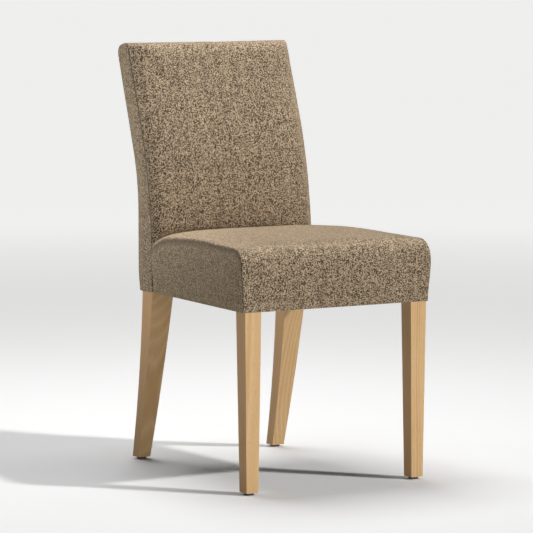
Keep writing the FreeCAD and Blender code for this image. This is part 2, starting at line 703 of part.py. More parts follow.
def foot_glide(name, x, y):
    body = new_body(name)
    radius = "Sizes.glide_diameter / 2"
    nail = "Sizes.glide_nail_diameter / 2"
    tip = "Sizes.glide_height + Sizes.glide_nail_length"
    profile = closed_sketch(body, f"{name}_profile", "XZ_Plane", (
        ("0", "0"), (radius, "0"), (radius, "Sizes.glide_height"),
        (nail, "Sizes.glide_height"), (nail, tip), ("0", tip)))
    turn = body.newObject("PartDesign::Revolution", f"{name}_turned")
    turn.Profile = profile
    turn.ReferenceAxis = (profile, ["V_Axis"])
    body.setExpression("Placement.Base.x", x)
    body.setExpression("Placement.Base.y", y)
    return body


# Webbing: straps woven over and under, lying on the rails at their ends.

def strap_shape(stations, signs, start, end):
    """Strap along +X on z = 0, passing each crossing over (+1) or under (-1)."""
    thick = size("strap_thickness")
    rise = (thick + size("strap_gap")) / 2
    half = size("strap_width") / 2 + size("strap_margin")
    path = [(start, 0.0)]
    first = stations[0] - half
    path.append((first - half, 0.0))
    for station, sign in zip(stations, signs):
        path.append((station - half, sign * rise))
        path.append((station + half, sign * rise))
    last = stations[-1] + half
    path.append((last + half, 0.0))
    path.append((end, 0.0))
    lower = [Vector(x, 0, z) for x, z in path]
    upper = [Vector(x, 0, z + thick) for x, z in reversed(path)]
    face = Part.Face(Part.makePolygon(lower + upper + lower[:1]))
    strap = face.extrude(Vector(0, size("strap_width"), 0))
    strap.translate(Vector(0, -size("strap_width") / 2, value(RAIL_TOP)))
    return strap


def long_strap_places():
    return [index * size("long_strap_pitch") for index in (-1, 0, 1)]


def cross_strap_places():
    middle = size("cross_strap_centre")
    return [middle + index * size("cross_strap_pitch") for index in (-1.5, -0.5, 0.5, 1.5)]


def long_webbing():
    straps = []
    start = size("strap_margin") - size("frame_front")
    end = value(POST_REAR) - size("strap_margin")
    for column, x in enumerate(long_strap_places()):
        signs = [(-1) ** (column + row) for row in range(len(cross_strap_places()))]
        strap = strap_shape(cross_strap_places(), signs, start, end)
        strap.rotate(Vector(0, 0, 0), Vector(0, 0, 1), 90)
        strap.translate(Vector(x, 0, 0))
        straps.append(strap)
    return Part.makeCompound(straps)


def cross_webbing():
    straps = []
    for row, y in enumerate(cross_strap_places()):
        reach_y = y + size("strap_width") / 2
        end = value(side_rail_outer(str(reach_y))) - size("strap_margin")
        signs = [-(-1) ** (column + row) for column in range(len(long_strap_places()))]
        strap = strap_shape(long_strap_places(), signs, -end, end)
        strap.translate(Vector(0, y, 0))
        straps.append(strap)
    return Part.makeCompound(straps)


def deck_start():
    """Height of the cloth that lies on the woven straps."""
    return value(RAIL_TOP) + 1.5 * size("strap_thickness") + size("strap_gap")


def deck_cloth():
    front = size("strap_margin") - size("frame_front")
    rear = value(SEAT_REAR) - size("strap_margin")
    corners = []
    for y, side in ((front, -1), (front, 1), (rear, 1), (rear, -1)):
        reach = value(side_rail_outer(str(y))) - size("strap_margin")
        corners.append(Vector(side * reach, y, deck_start()))
    face = Part.Face(Part.makePolygon(corners + corners[:1]))
    return face.extrude(Vector(0, 0, size("deck_cloth_thickness")))


def foam_start():
    return deck_start() + size("deck_cloth_thickness")


# Seat: lofted from side to side through upright sections of lines and arcs.

def seat_half(y):
    """Half width of the upholstery at y."""
    return value(side_rail_outer(str(y))) + size("side_padding")


def seat_section(fall, inset, rear_inset, place):
    """Upright section of the seat; fall is 0 in the middle and 1 at the side seams."""
    front = size("seat_front_bow") * fall - value(SEAT_FRONT)
    foot = -(size("frame_front") + size("cover_thickness") + size("soft_gap"))
    rear = value(SEAT_REAR)
    low = size("cover_underside")
    crest = size("seat_crest")
    points = [
        (foot, low),
        (rear, low),
        (rear, crest - size("seat_tail_drop") - size("tail_fall") * fall),
        (size("seat_haunch_y"), crest - size("seat_haunch_drop") - size("haunch_fall") * fall),
        (size("seat_crest_y"), crest - size("crest_fall") * fall),
        (front, crest - size("seat_nose_drop") - size("nose_fall") * fall),
        (front, low + size("seat_tuck_height")),
    ]
    radii = [0, 0, 0, 0, 0, size("seat_nose_radius") - inset, size("seat_tuck_radius")]
    insets = [inset, rear_inset, inset, inset, inset, inset, inset]
    return outline_wire(inset_outline(points, insets), radii, place)


def seat_plane(share, back_off):
    """Upright plane that follows the taper of the seat, at a share of its half width."""
    return lambda point: Vector(share * (seat_half(point.x) - back_off), point.x, point.y)


SEAT_BORDER = ((0.82, 0.3), (1.0, 1.0))


def seat_core(inset, rear_inset):
    """Middle of the seat with an even crown, then borders that fall to the side seams."""
    edge = max(inset, size("cheek_bulge"))
    flat = size("seat_flat_half")
    middle = Part.Face(seat_section(0, inset, rear_inset, across(-flat)))
    borders = []
    for name, side in SIDES:
        wires = [seat_section(0, inset, rear_inset, across(side * flat))]
        for share, fall in SEAT_BORDER:
            plane = seat_plane(side * share, edge)
            wires.append(seat_section(fall, inset, rear_inset, plane))
        borders.append(Part.makeLoft(wires, True, True))
    return middle.extrude(Vector(2 * flat, 0, 0)).multiFuse(borders)


def seat_cheek(side, inset, rear_inset):
    """Swelling side panel, from the seam outline to a smaller flat outline."""
    swell = size("cheek_bulge") - inset
    wires = []
    for step in (0.0, 0.6, 1.0):
        border = size("cheek_inset") * (1 - math.sqrt(1 - step ** 2))
        plane = seat_plane(side, size("cheek_bulge") - swell * step)
        wires.append(seat_section(1.0, inset + border, rear_inset, plane))
    return Part.makeLoft(wires, True, True)


def seat_form(inset, rear_inset):
    return seat_core(inset, rear_inset).multiFuse(
        [seat_cheek(side, inset, rear_inset) for name, side in SIDES])


# Back: a leaning profile, lofted from side to side, with a rounded front and top border.

def back_outline(front, top, rear, foot, seat_side):
    """Corners and radii of the back in (y, z), each face moved inward by its own inset."""
    rake_tan = value(RAKE_TAN)
    fall_tan = value("tan(Sizes.top_fall * 1 deg)")
    low = size("cover_underside")
    high = size("back_top")
    top_y = value(front_line("Sizes.back_top"))
    rear_y = size("rear_bend_y")
    rear_z = size("rear_bend_z")
    corner_y = (rear_y + rake_tan * (high + fall_tan * top_y - rear_z)) / (1 + rake_tan * fall_tan)
    corner_z = high - fall_tan * (corner_y - top_y)
    seam_y = value(SEAT_REAR) + size("back_seam_gap")
    foot_y = value(POST_REAR) + size("cover_thickness") + size("soft_gap")
    points = [
        (seam_y, low),
        (foot_y, low),
        (rear_y, low + size("rear_foot_rise")),
        (rear_y, rear_z),
        (corner_y, corner_z),
        (top_y, high),
        (size("front_bend_y"), size("front_bend_z")),
        (value(front_low_line("Sizes.back_foot")), size("back_foot")),
        (seam_y, size("back_foot")),
    ]
    radii = [0, 0, size("rear_foot_radius"), size("rear_bend_radius"),
             size("top_rear_radius") - (rear + top) / 2,
             size("top_front_radius") - (front + top) / 2,
             size("front_bend_radius"), 0, 0]
    insets = [foot, rear, rear, rear, top, front, front, seat_side, seat_side]
    return inset_outline(points, insets), radii


def back_section(x, front, top, rear, open_end):
    points, radii = back_outline(front, top, rear, open_end, open_end)
    return outline_wire(points, radii, across(x))


def back_half():
    return seat_half(value(SEAT_REAR))


ROUND_STEPS = (0.0, 0.5, 0.87, 1.0)


def back_form(inset, rear, open_end):
    """Crowned middle, then borders that round over to the side panels."""
    crown = size("back_crown")
    flat = size("back_flat_half")
    middle = Part.Face(back_section(-flat, inset - crown, inset, rear, open_end))
    borders = []
    for name, side in SIDES:
        wires = [back_section(side * flat, inset - crown, inset, rear, open_end)]
        for step in ROUND_STEPS:
            ring = 1 - math.sqrt(1 - step ** 2)
            x = back_half() - size("back_round") + (size("back_round") - inset) * step
            front = inset + (size("back_round_front") - inset) * ring
            top = inset + (size("back_round_top") - inset) * ring
            wires.append(back_section(side * x, front, top, rear, open_end))
        borders.append(Part.makeLoft(wires, True, True))
    return middle.extrude(Vector(2 * flat, 0, 0)).multiFuse(borders)


def main_solid(shape):
    return max(shape.Solids, key=lambda solid: solid.Volume)


def level_box(low, high):
    """Box over the whole chair between two heights."""
    reach = 2 * value(SEAT_FRONT)
    return Part.makeBox(2 * reach, 2 * reach, high - low, Vector(-reach, -reach, low))


def frame_block(margin, start, end):
    """Plan of the seat frame, grown by a margin, between two heights."""
    front = -size("frame_front") - margin
    rear = size("post_front") + size("post_depth")
    corners = []
    for y, side in ((front, -1), (front, 1), (rear, 1), (rear, -1)):
        reach = value(side_rail_outer(str(y))) + margin
        corners.append(Vector(side * reach, y, start))
    face = Part.Face(Part.makePolygon(corners + corners[:1]))
    return face.extrude(Vector(0, 0, end - start))


OPEN_REAR = -25.0


def seat_cover_top():
    shell = seat_core(0, 0).cut(seat_form(size("cover_thickness"), OPEN_REAR))
    under = size("cover_underside")
    opening = frame_block(-size("fold_width"), under - 1, value(RAIL_UNDER) + 1)
    half = value(side_rail_outer(SEAT_REAR)) - size("fold_width")
    behind = Part.makeBox(2 * half, size("post_front"), value(RAIL_UNDER) + 2 - under,
                          Vector(-half, size("post_front") - size("fold_width"), under - 1))
    shell = shell.cut(opening).cut(behind)
    gap = size("soft_gap")
    for name, side in SIDES:
        start = side * (value(LEG_INNER) - gap)
        end = side * seat_half(-value(SEAT_FRONT))
        notch = Part.makeBox(
            abs(end - start), size("leg_depth") + 2 * gap, size("cover_thickness") + 1,
            Vector(min(start, end), -size("frame_front") - gap, under - 1))
        shell = shell.cut(notch)
    return main_solid(shell)


def seat_cover_side(side):
    shell = seat_cheek(side, 0, 0).cut(seat_form(size("cover_thickness"), OPEN_REAR))
    return main_solid(shell)


def wadding_inset():
    return size("cover_thickness") + size("soft_gap")


def foam_inset():
    return wadding_inset() + size("wadding_thickness") + size("soft_gap")


def seat_wadding():
    layer = seat_core(wadding_inset(), size("soft_gap"))
    layer = layer.cut(seat_core(foam_inset() - size("soft_gap"), OPEN_REAR))
    layer = layer.cut(frame_block(size("soft_gap"), 0, foam_start()))
    layer = layer.cut(level_box(0, size("cover_underside") + size("wadding_hem")))
    return main_solid(layer)


def seat_foam():
    block = seat_core(foam_inset(), size("soft_gap"))
    return main_solid(block.cut(level_box(0, foam_start())))


def seat_tool():
    gap = size("back_seam_gap")
    return seat_form(-gap, -gap)


def side_plate(side):
    points, radii = back_outline(size("back_round_front"), size("back_round_top"), 0, 0, 0)
    inner = side * (back_half() - size("cover_thickness"))
    return prism(points, radii, inner, side * back_half())


def rear_strip(half):
    """Outside back as thick as the cover, over the whole height of the form."""
    whole = prism(*back_outline(0, 0, 0, 0, 0), -half, half)
    return whole.cut(prism(*back_outline(0, 0, size("cover_thickness"), OPEN_REAR, 0), -half, half))


def back_cover_rear():
    strip = rear_strip(back_half() - size("cover_thickness"))
    strip = strip.cut(level_box(size("rear_seam_height"), 2 * size("back_top")))
    half = value(POST_INNER) - size("dust_cover_relief")
    under = size("cover_underside")
    fold = Part.makeBox(2 * half, size("fold_width"), size("cover_thickness"),
                        Vector(-half, value(POST_REAR) - size("fold_width"), under))
    return main_solid(strip.fuse(fold).removeSplitter())


def back_cover_front():
    thick = size("cover_thickness")
    shell = back_form(0, 0, 0).cut(back_form(thick, thick, OPEN_REAR))
    zone = rear_strip(back_half())
    zone = zone.cut(level_box(size("rear_seam_height"), 2 * size("back_top")))
    for tool in (seat_tool(), side_plate(-1), side_plate(1), zone):
        shell = shell.cut(tool)
    return main_solid(shell)


def back_frame_block():
    """Everything from the front of the back straps rearward, up to the post tops."""
    shift = str(size("back_padding") - size("back_strap_room"))
    gap = size("soft_gap")
    over = size("post_top") + gap
    far = 2 * size("frame_front")
    points = [
        (value(front_low_line("Sizes.cover_underside", shift)), size("cover_underside")),
        (far, size("cover_underside")),
        (far, value(POST_TOP_REAR) + gap),
        (value(f"{STILE_REAR} + {RAKE_TAN} * ({POST_TOP_REAR} - Sizes.rear_bend_z)"),
         value(POST_TOP_REAR) + gap),
        (value(front_line("Sizes.post_top", "Sizes.back_padding")), over),
        (value(front_line("Sizes.post_top", shift)), over),
        (value(f"Sizes.front_bend_y + {shift}"), size("front_bend_z")),
    ]
    return prism(points, [0, 0, 0, 0, 0, 0, size("post_bend_radius")],
                 -size("frame_front_half"), size("frame_front_half"))


def back_wadding():
    layer = back_form(wadding_inset(), wadding_inset(), 0)
    layer = layer.cut(back_form(foam_inset() - size("soft_gap"), OPEN_REAR, OPEN_REAR))
    layer = layer.cut(level_box(0, size("back_foam_foot"))).cut(seat_tool())
    return main_solid(layer)


def back_foam():
    block = back_form(foam_inset(), wadding_inset(), 0)
    block = block.cut(back_frame_block()).cut(level_box(0, size("back_foam_foot")))
    return main_solid(block.cut(seat_tool()))


def stile_point(height):
    """Place and lean of the stile's front face at a height."""
    lean = math.radians(size("lower_lean"))
    rake = math.radians(size("rake"))
    radius = size("post_bend_radius")
    reach = radius * math.tan((rake - lean) / 2)
    bend_y = value(STILE_FRONT)
    start_y = bend_y - reach * math.sin(lean)
    start_z = size("front_bend_z") - reach * math.cos(lean)
    sine = math.sin(lean) + (height - start_z) / radius
    if sine <= math.sin(lean):
        return bend_y + math.tan(lean) * (height - size("front_bend_z")), lean
    if sine >= math.sin(rake):
        return bend_y + math.tan(rake) * (height - size("front_bend_z")), rake
    angle = math.asin(sine)
    return start_y + radius * (math.cos(lean) - math.cos(angle)), angle


BACK_STRAPS = 4


def back_webbing():
    straps = []
    half = size("frame_rear_half") - size("strap_margin")
    for index in range(BACK_STRAPS):
        height = size("back_strap_first") + index * size("back_strap_pitch")
        y, angle = stile_point(height)
        strap = Part.makeBox(2 * half, size("strap_thickness"), size("strap_width"),
                             Vector(-half, -size("strap_thickness") - size("soft_gap"),
                                    -size("strap_width") / 2))
        strap.rotate(Vector(0, 0, 0), Vector(1, 0, 0), -math.degrees(angle))
        strap.translate(Vector(0, y, height))
        straps.append(strap)
    return Part.makeCompound(straps)


def dust_cover(name):
    body = new_body(name)
    relief = "Sizes.dust_cover_relief"
    front = "(Sizes.dust_cover_inset - Sizes.frame_front)"
    behind_leg = f"({LEG_REAR} + {relief})"
    before_post = f"(Sizes.post_front - {relief})"
    rear = f"({POST_REAR} - Sizes.dust_cover_inset)"
    half = (
        (f"{LEG_INNER} - {relief}", front),
        (f"{LEG_INNER} - {relief}", behind_leg),
        (f"{side_rail_outer(behind_leg)} - Sizes.dust_cover_inset", behind_leg),
        (f"{side_rail_outer(before_post)} - Sizes.dust_cover_inset", before_post),
        (f"{POST_INNER} - {relief}", before_post),
        (f"{POST_INNER} - {relief}", rear),
    )
    corners = list(half) + list(reversed(mirrored(-1, half)))
    plan = closed_sketch(body, f"{name}_plan", "XY_Plane", corners,
                         "Sizes.cover_underside - Sizes.dust_cover_thickness")
    pad(body, f"{name}_cloth", plan, "Sizes.dust_cover_thickness")
    return body


# The chair.

pieces = {}

bolts = solid_feature("corner_block_bolts", Part.makeCompound(bolt_set(0)))
bores = solid_feature("bolt_bores", Part.makeCompound(bolt_set(size("bore_gap"))))
pieces["corner_block_bolts"] = bolts

pieces["front_rail"] = straight_rail(
    "front_rail", "-Sizes.frame_front", "Sizes.rail_thickness - Sizes.frame_front",
    LEG_INNER, rectangle(
        f"{front_rail_middle()} - Sizes.tenon_thickness / 2",
        f"{front_rail_middle()} + Sizes.tenon_thickness / 2", TENON_LOW, TENON_HIGH))
pieces["rear_rail"] = straight_rail(
    "rear_rail", REAR_RAIL_FRONT, POST_REAR, POST_INNER, rear_rail_tenon())
for side_name, side in SIDES:
    name = f"side_rail_{side_name}"
    pieces[name] = side_rail(name, side)
    for name, make_blank in ((f"front_leg_{side_name}", front_leg),
                             (f"rear_post_{side_name}", rear_post),
                             (f"corner_block_front_{side_name}", front_block),
                             (f"corner_block_rear_{side_name}", rear_block)):
        blank = make_blank(f"{name}_blank", side)
        pieces[name] = cut_feature(name, blank, bores)

pieces["back_lower_rail"] = back_rail(
    "back_lower_rail",
    slanted_section(lower_rail_start(), "Sizes.lower_rail_height", "Sizes.lower_lean", "0"),
    lower_rail_tenon())
pieces["back_top_rail"] = back_rail(
    "back_top_rail",
    slanted_section(top_rail_start(), "Sizes.top_rail_height", "Sizes.rake", "0"),
    top_rail_tenon())

front_glide_x = "(Sizes.frame_front_half - Sizes.leg_toe_side - Sizes.leg_foot_width / 2)"
front_glide_y = "Sizes.leg_toe_front - Sizes.frame_front + Sizes.leg_foot_depth / 2"
rear_glide_x = "(Sizes.frame_rear_half - Sizes.post_foot_inset - Sizes.post_foot_width / 2)"
rear_glide_y = "Sizes.post_foot_front + Sizes.post_foot_depth / 2"
for side_name, side in SIDES:
    for end, x, y in (("front", front_glide_x, front_glide_y),
                      ("rear", rear_glide_x, rear_glide_y)):
        name = f"foot_glide_{end}_{side_name}"
        pieces[name] = foot_glide(name, f"{side} * {x}", y)

pieces["dust_cover"] = dust_cover("dust_cover")

soft_shapes = {
    "seat_webbing_lengthwise": long_webbing(),
    "seat_webbing_crosswise": cross_webbing(),
    "seat_deck_cloth": deck_cloth(),
    "seat_foam": seat_foam(),
    "seat_wadding": seat_wadding(),
    "seat_cover_top": seat_cover_top(),
    "seat_cover_side_left": seat_cover_side(-1),
    "seat_cover_side_right": seat_cover_side(1),
    "back_webbing": back_webbing(),
    "back_foam": back_foam(),
    "back_wadding": back_wadding(),
    "back_cover_front": back_cover_front(),
    "back_cover_side_left": main_solid(side_plate(-1).cut(seat_tool())),
    "back_cover_side_right": main_solid(side_plate(1).cut(seat_tool())),
    "back_cover_rear": back_cover_rear(),
}
for name, shape in soft_shapes.items():
    pieces[name] = solid_feature(name, shape)

doc.recompute()

for item in doc.Objects:
    if "Invalid" in item.State or "Error" in item.State:
        raise RuntimeError(f"{item.Label} failed: {item.State}")
for name, piece in pieces.items():
    if piece.Shape.isNull() or not piece.Shape.isValid() or not piece.Shape.Solids:
        raise RuntimeError(f"{name} has no valid solid")

os.makedirs("parts", exist_ok=True)
overall = FreeCAD.BoundBox()
for name, piece in pieces.items():
    piece.Shape.exportStep(f"parts/{name}.step")
    overall.add(piece.Shape.BoundBox)
    print(f"{name}: {len(piece.Shape.Solids)} solids, {piece.Shape.Volume / 1000:.1f} cm3")
print(f"Overall {overall.XLength:.1f} x {overall.YLength:.1f} x {overall.ZLength:.1f} mm,"
      f" y from {overall.YMin:.1f} to {overall.YMax:.1f}")
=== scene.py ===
# %% [markdown]
# # An upholstered parsons dining chair
# The chair is a wooden frame wrapped in foam and woven cloth. The wooden parts come in ready
# shaped, as the fixed frame of this scene, so this lesson is about what makes them look real:
# padded covers that are sewn from panels, a cloth with visible threads, and oak with grain.
# The shapes are written in millimetres and turned into metres when a mesh is made.

# %% Load the frame
import math

import bmesh
import bpy
import numpy as np
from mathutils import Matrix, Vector, noise


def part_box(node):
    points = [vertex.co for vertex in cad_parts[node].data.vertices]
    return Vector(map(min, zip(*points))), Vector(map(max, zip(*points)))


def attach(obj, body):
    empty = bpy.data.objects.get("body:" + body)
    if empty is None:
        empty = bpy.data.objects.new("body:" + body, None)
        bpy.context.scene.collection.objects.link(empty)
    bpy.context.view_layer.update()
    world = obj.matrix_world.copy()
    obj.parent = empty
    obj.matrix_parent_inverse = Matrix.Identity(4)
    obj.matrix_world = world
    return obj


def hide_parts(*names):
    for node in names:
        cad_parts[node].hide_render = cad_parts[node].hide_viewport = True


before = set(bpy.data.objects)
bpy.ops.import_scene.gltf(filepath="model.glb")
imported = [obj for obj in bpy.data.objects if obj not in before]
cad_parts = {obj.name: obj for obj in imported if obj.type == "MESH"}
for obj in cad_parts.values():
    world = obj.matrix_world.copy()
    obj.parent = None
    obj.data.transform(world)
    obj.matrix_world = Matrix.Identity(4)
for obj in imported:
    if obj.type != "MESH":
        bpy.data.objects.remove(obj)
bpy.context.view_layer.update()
MM = 0.001

# %% [markdown]
# # The lines of the upholstery
# An upholsterer works from a side view: where the seat is highest, how the front edge falls
# like a waterfall, where the back bends. The same side view is kept here as corners joined by
# straight lines, and a radius at each corner. Drawing them as curve objects would work too, but
# plain points are easy to measure and to sew. One helper turns corners into rounded lines, a
# second one spaces points along a line, so that every cross-section gets the same number.

# %% Rounded outlines
def rounded(corners, radii, steps=12):
    """One array of points per corner: an arc where there is a radius, else the corner."""
    corners = [np.array(c, float) for c in corners]
    runs = np.diff(corners, axis=0)
    lengths = np.linalg.norm(runs, axis=1)
    ways = runs / lengths[:, None]
    halves = [math.acos(np.clip(-ways[i - 1] @ ways[i], -1, 1)) / 2 if 0 < i < len(ways) else 1
              for i in range(len(corners))]
    reaches = np.array([r / math.tan(h) for r, h in zip(radii, halves)])
    fit = np.minimum(1.0, 0.98 * lengths / np.maximum(reaches[:-1] + reaches[1:], 1e-9))
    reaches[1:-1] *= np.minimum(fit[:-1], fit[1:])
    pieces = []
    for index, corner in enumerate(corners):
        if not reaches[index] or index in (0, len(corners) - 1):
            pieces.append(corner[None, :])
            continue
        back, ahead, half, reach = -ways[index - 1], ways[index], halves[index], reaches[index]
        radius = reach * math.tan(half)
        middle = (back + ahead) / np.linalg.norm(back + ahead)
        centre = corner + middle * radius / math.sin(half)
        start, end = corner + back * reach - centre, corner + ahead * reach - centre
        turn = math.acos(np.clip(start @ end / radius ** 2, -1, 1))
        share = np.linspace(0, 1, steps + 1)[:, None]
        arc = (np.sin((1 - share) * turn) * start + np.sin(share * turn) * end) / math.sin(turn)
        pieces.append(centre + arc)
    return pieces


def run_along(points):
    """Length of a line up to each of its points."""
    return np.concatenate([[0], np.cumsum(np.linalg.norm(np.diff(points, axis=0), axis=1))])


def length_of(points):
    return float(np.linalg.norm(np.diff(points, axis=0), axis=1).sum())


def spaced(points, shares):
    """Points of a line at shares of its length from 0 to 1."""
    along = run_along(points)
    return np.stack([np.interp(np.asarray(shares) * along[-1], along, points[:, axis])
                     for axis in range(points.shape[1])], axis=1)


def shares_for(length, step=8.0, close=(0, 2, 5, 10)):
    """Shares of a length in millimetres: close together at both ends, even between them."""
    start = [c for c in close if c < length / 2.2]
    inner = np.linspace(start[-1], length - start[-1],
                        max(2, round((length - 2 * start[-1]) / step)) + 1)
    return np.concatenate([start[:-1], inner, [length - c for c in start[-2::-1]]]) / length


square_corner = rounded([(0, 0), (50, 0), (50, 50)], (0, 10, 0))
print("a square corner rounded by 10 mm is", round(length_of(square_corner[1]), 2), "mm long")

# %% [markdown]
# # The seat block
# The seat is a crowned block. Seen from the side it has a tucked-in hem, a straight front, a
# nose of 36 mm radius, a crest, a haunch and a tail that dives under the back. Towards the side
# seams all of them fall, the tail most of all, which gives the soft shoulder beside the back.
# Seen from the front the foam pushes the sides outwards between the hem and the shoulder. The
# block could be sculpted by hand, but a side view with a fall for each line keeps every size a
# number. The heights are those of the frame's own seat, drawn in by 1.5 mm, because the cloth is
# going to be blown up from inside and needs that room.

# %% Seat sizes
HEM = 383.0
DRAWN_IN = 1.5
# The frame's half width at FRAME_FRONT, and how much of it is lost per millimetre further back.
FRAME_HALF, FRAME_FRONT, FRAME_TAPER = 222.6, -254.4, 25.6 / 410.9
SIDE_PADDING = 4.4
# The sides bulge by BULGE, reached at BULGE_HEIGHT above the hem.
BULGE, BULGE_HEIGHT = 5.0, 95.0
SEAT_FRONT, SEAT_REAR = -302.0, 147.0
FRONT_BOW = 5.0
HEM_FRONT, TUCK_HEIGHT = -294.2, 57.0
CREST_Y, HAUNCH_Y = -60.0, 90.0
# Each line's height in the middle of the seat, and how much lower it is at the side seams.
NOSE, CREST, HAUNCH, TAIL = (521.0, 5.0), (530.0, 9.5), (522.5, 15.0), (514.0, 33.0)
SEAT_RADII = (0, 400, 36, 1500, 240, 0)
print("seat from y", SEAT_FRONT, "to", SEAT_REAR, "and from z", HEM, "to", CREST[0], "mm")

# %% Seat cross-sections
def frame_half(y):
    """Half width of the wooden frame, which narrows evenly towards the rear."""
    return FRAME_HALF - FRAME_TAPER * (y - FRAME_FRONT)


def seat_half(y, z=HEM):
    """Half width of the seat: the foam bulges it outwards between the hem and the shoulder."""
    rise = np.clip((z - HEM) / BULGE_HEIGHT, 0, 1)
    bulge = BULGE * rise * rise * (3 - 2 * rise)
    return frame_half(y) + SIDE_PADDING - DRAWN_IN + bulge


def shoulder(share):
    """How far the seat has fallen at a share of its half width: 0 in the middle, 1 at the seam."""
    share = np.abs(share)
    return 0.3 * share ** 3 + 0.7 * (1 - np.sqrt(np.clip(1 - share ** 8, 0, 1)))


def height_of(line, fall):
    """Height of one of the seat's lines where it has fallen by a share of its whole fall."""
    middle, drop = line
    return middle - drop * fall - DRAWN_IN


def seat_top_near_back(x, y):
    fall = shoulder(min(abs(x) / seat_half(y), 1.0))
    run = (y - HAUNCH_Y) / (SEAT_REAR - HAUNCH_Y)
    return height_of(HAUNCH, fall) * (1 - run) + height_of(TAIL, fall) * run


def seat_section(share):
    """Front, nose and top of one upright section, as three lines of (y, z)."""
    fall = shoulder(share)
    front = SEAT_FRONT + FRONT_BOW * abs(share) ** 3 + DRAWN_IN
    corners = [(HEM_FRONT + DRAWN_IN, HEM), (front, HEM + TUCK_HEIGHT),
               (front, height_of(NOSE, fall)), (CREST_Y, height_of(CREST, fall)),
               (HAUNCH_Y, height_of(HAUNCH, fall)), (SEAT_REAR, height_of(TAIL, fall))]
    hem, tuck, nose, crest, haunch, tail = rounded(corners, SEAT_RADII)
    return (np.concatenate([hem, tuck, nose[:1]]), nose,
            np.concatenate([nose[-1:], crest, haunch, tail]))


front_line, nose_line, top_line = seat_section(0.0)
print("seat section, front, nose, top in mm:",
      [round(length_of(line)) for line in (front_line, nose_line, top_line)])

# %% [markdown]
# # Panels as grids
# A cover is cut from flat panels: one waterfall piece over top and front, and a D-shaped side
# panel on each side. A panel is made here as a grid of points, because a grid keeps the run of
# the threads: its flat position in metres is stored as the UV map, so the weave keeps its scale
# and changes direction where the real cloth is sewn. The side panels are filled between their
# four edges with the Coons rule, which blends opposite edges, and swell away from their seams.

# %% Panel helpers
def add_panel(panels, name, grid, flat):
    """grid is rows by columns of points in millimetres, flat the same for the cloth."""
    panels.append((name, np.asarray(grid, float), np.asarray(flat, float)))


def coons(bottom, top, front, rear):
    """Grid between four edges of (y, z) that share their corners. Rows go bottom to top."""
    across = (bottom[:, 0] - bottom[0, 0]) / (bottom[-1, 0] - bottom[0, 0])
    up = run_along(front) / run_along(front)[-1]
    u, v = across[None, :, None], up[:, None, None]
    ruled_up = (1 - v) * bottom[None] + v * top[None]
    ruled_across = (1 - u) * front[:, None] + u * rear[:, None]
    corners = ((1 - u) * (1 - v) * bottom[0] + u * (1 - v) * bottom[-1]
               + (1 - u) * v * top[0] + u * v * top[-1])
    return ruled_up + ruled_across - corners


def edge_room(grid):
    """Distance of each point of a grid to the nearest of its four edges, in millimetres."""
    rows, columns = grid.shape[:2]
    room = np.full((rows, columns), 1e9)
    for edge in (grid[0], grid[-1], grid[:, 0], grid[:, -1]):
        gap = np.linalg.norm(grid[:, :, None, :] - edge[None, None], axis=3).min(axis=2)
        room = np.minimum(room, gap)
    return room


def swollen(grid, height, reach):
    """How far a panel stands out: nothing at its seams, its full height well away from them."""
    return height * (1 - np.exp(-edge_room(grid) / reach))


unit_edge = np.array([(0.0, 0.0), (1.0, 0.0)])
unit_side = np.array([(0.0, 0.0), (0.0, 1.0)])
unit_patch = coons(unit_edge, unit_edge + (0, 1), unit_side, unit_side + (1, 0))
print("corners of a unit patch:", unit_patch.reshape(-1, 2).tolist())

# %% Seat top panel
# Rows lie close together at the hem and at the tail, where the cloth bends round an edge.
front_shares = np.append(shares_for(length_of(front_line))[:-4], 1.0)
nose_shares = np.linspace(0, 1, 8)
top_shares = np.append(0.0, shares_for(length_of(top_line))[3:])
seat_shares = 2 * shares_for(2 * seat_half(-80.0)) - 1
columns = []
for share in seat_shares:
    front, nose, top = [spaced(line, shares) for line, shares in
                        zip(seat_section(share), (front_shares, nose_shares, top_shares))]
    columns.append(np.concatenate([front, nose[1:], top[1:]]))
sections = np.stack(columns, axis=1)
seat_x = seat_shares[None, :] * seat_half(sections[:, :, 0], sections[:, :, 1])
seat_grid = np.concatenate([seat_x[:, :, None], sections], axis=2)
run = run_along(seat_grid[:, len(seat_shares) // 2])
flat = np.stack([seat_grid[:, :, 0], np.broadcast_to(run[:, None], seat_grid.shape[:2])], axis=2)
seat_panels = []
add_panel(seat_panels, "top", seat_grid, flat)
print("seat top grid:", seat_grid.shape, "run of the cloth in mm:", round(run[-1]))

# %% Seat side, under and hidden panels
front_rows = len(front_shares)
for side, column in ((-1, 0), (1, -1)):
    outline = sections[:, column]
    front_edge, top_edge = outline[:front_rows], outline[front_rows - 1:]
    spread = (top_edge[:, 0] - top_edge[0, 0]) / (top_edge[-1, 0] - top_edge[0, 0])
    foot = outline[0, 0]
    bottom_edge = np.stack([foot + spread * (SEAT_REAR - foot),
                            np.full(len(spread), HEM)], axis=1)
    climb = (front_edge[:, 1] - HEM) / (front_edge[-1, 1] - HEM)
    rear_edge = np.stack([np.full(len(climb), SEAT_REAR),
                          HEM + climb * (top_edge[-1, 1] - HEM)], axis=1)
    patch = coons(bottom_edge, top_edge, front_edge, rear_edge)
    x = side * (seat_half(patch[:, :, 0], patch[:, :, 1]) + swollen(patch, 2.5, 12.0))
    add_panel(seat_panels, "side", np.concatenate([x[:, :, None], patch], axis=2), patch)

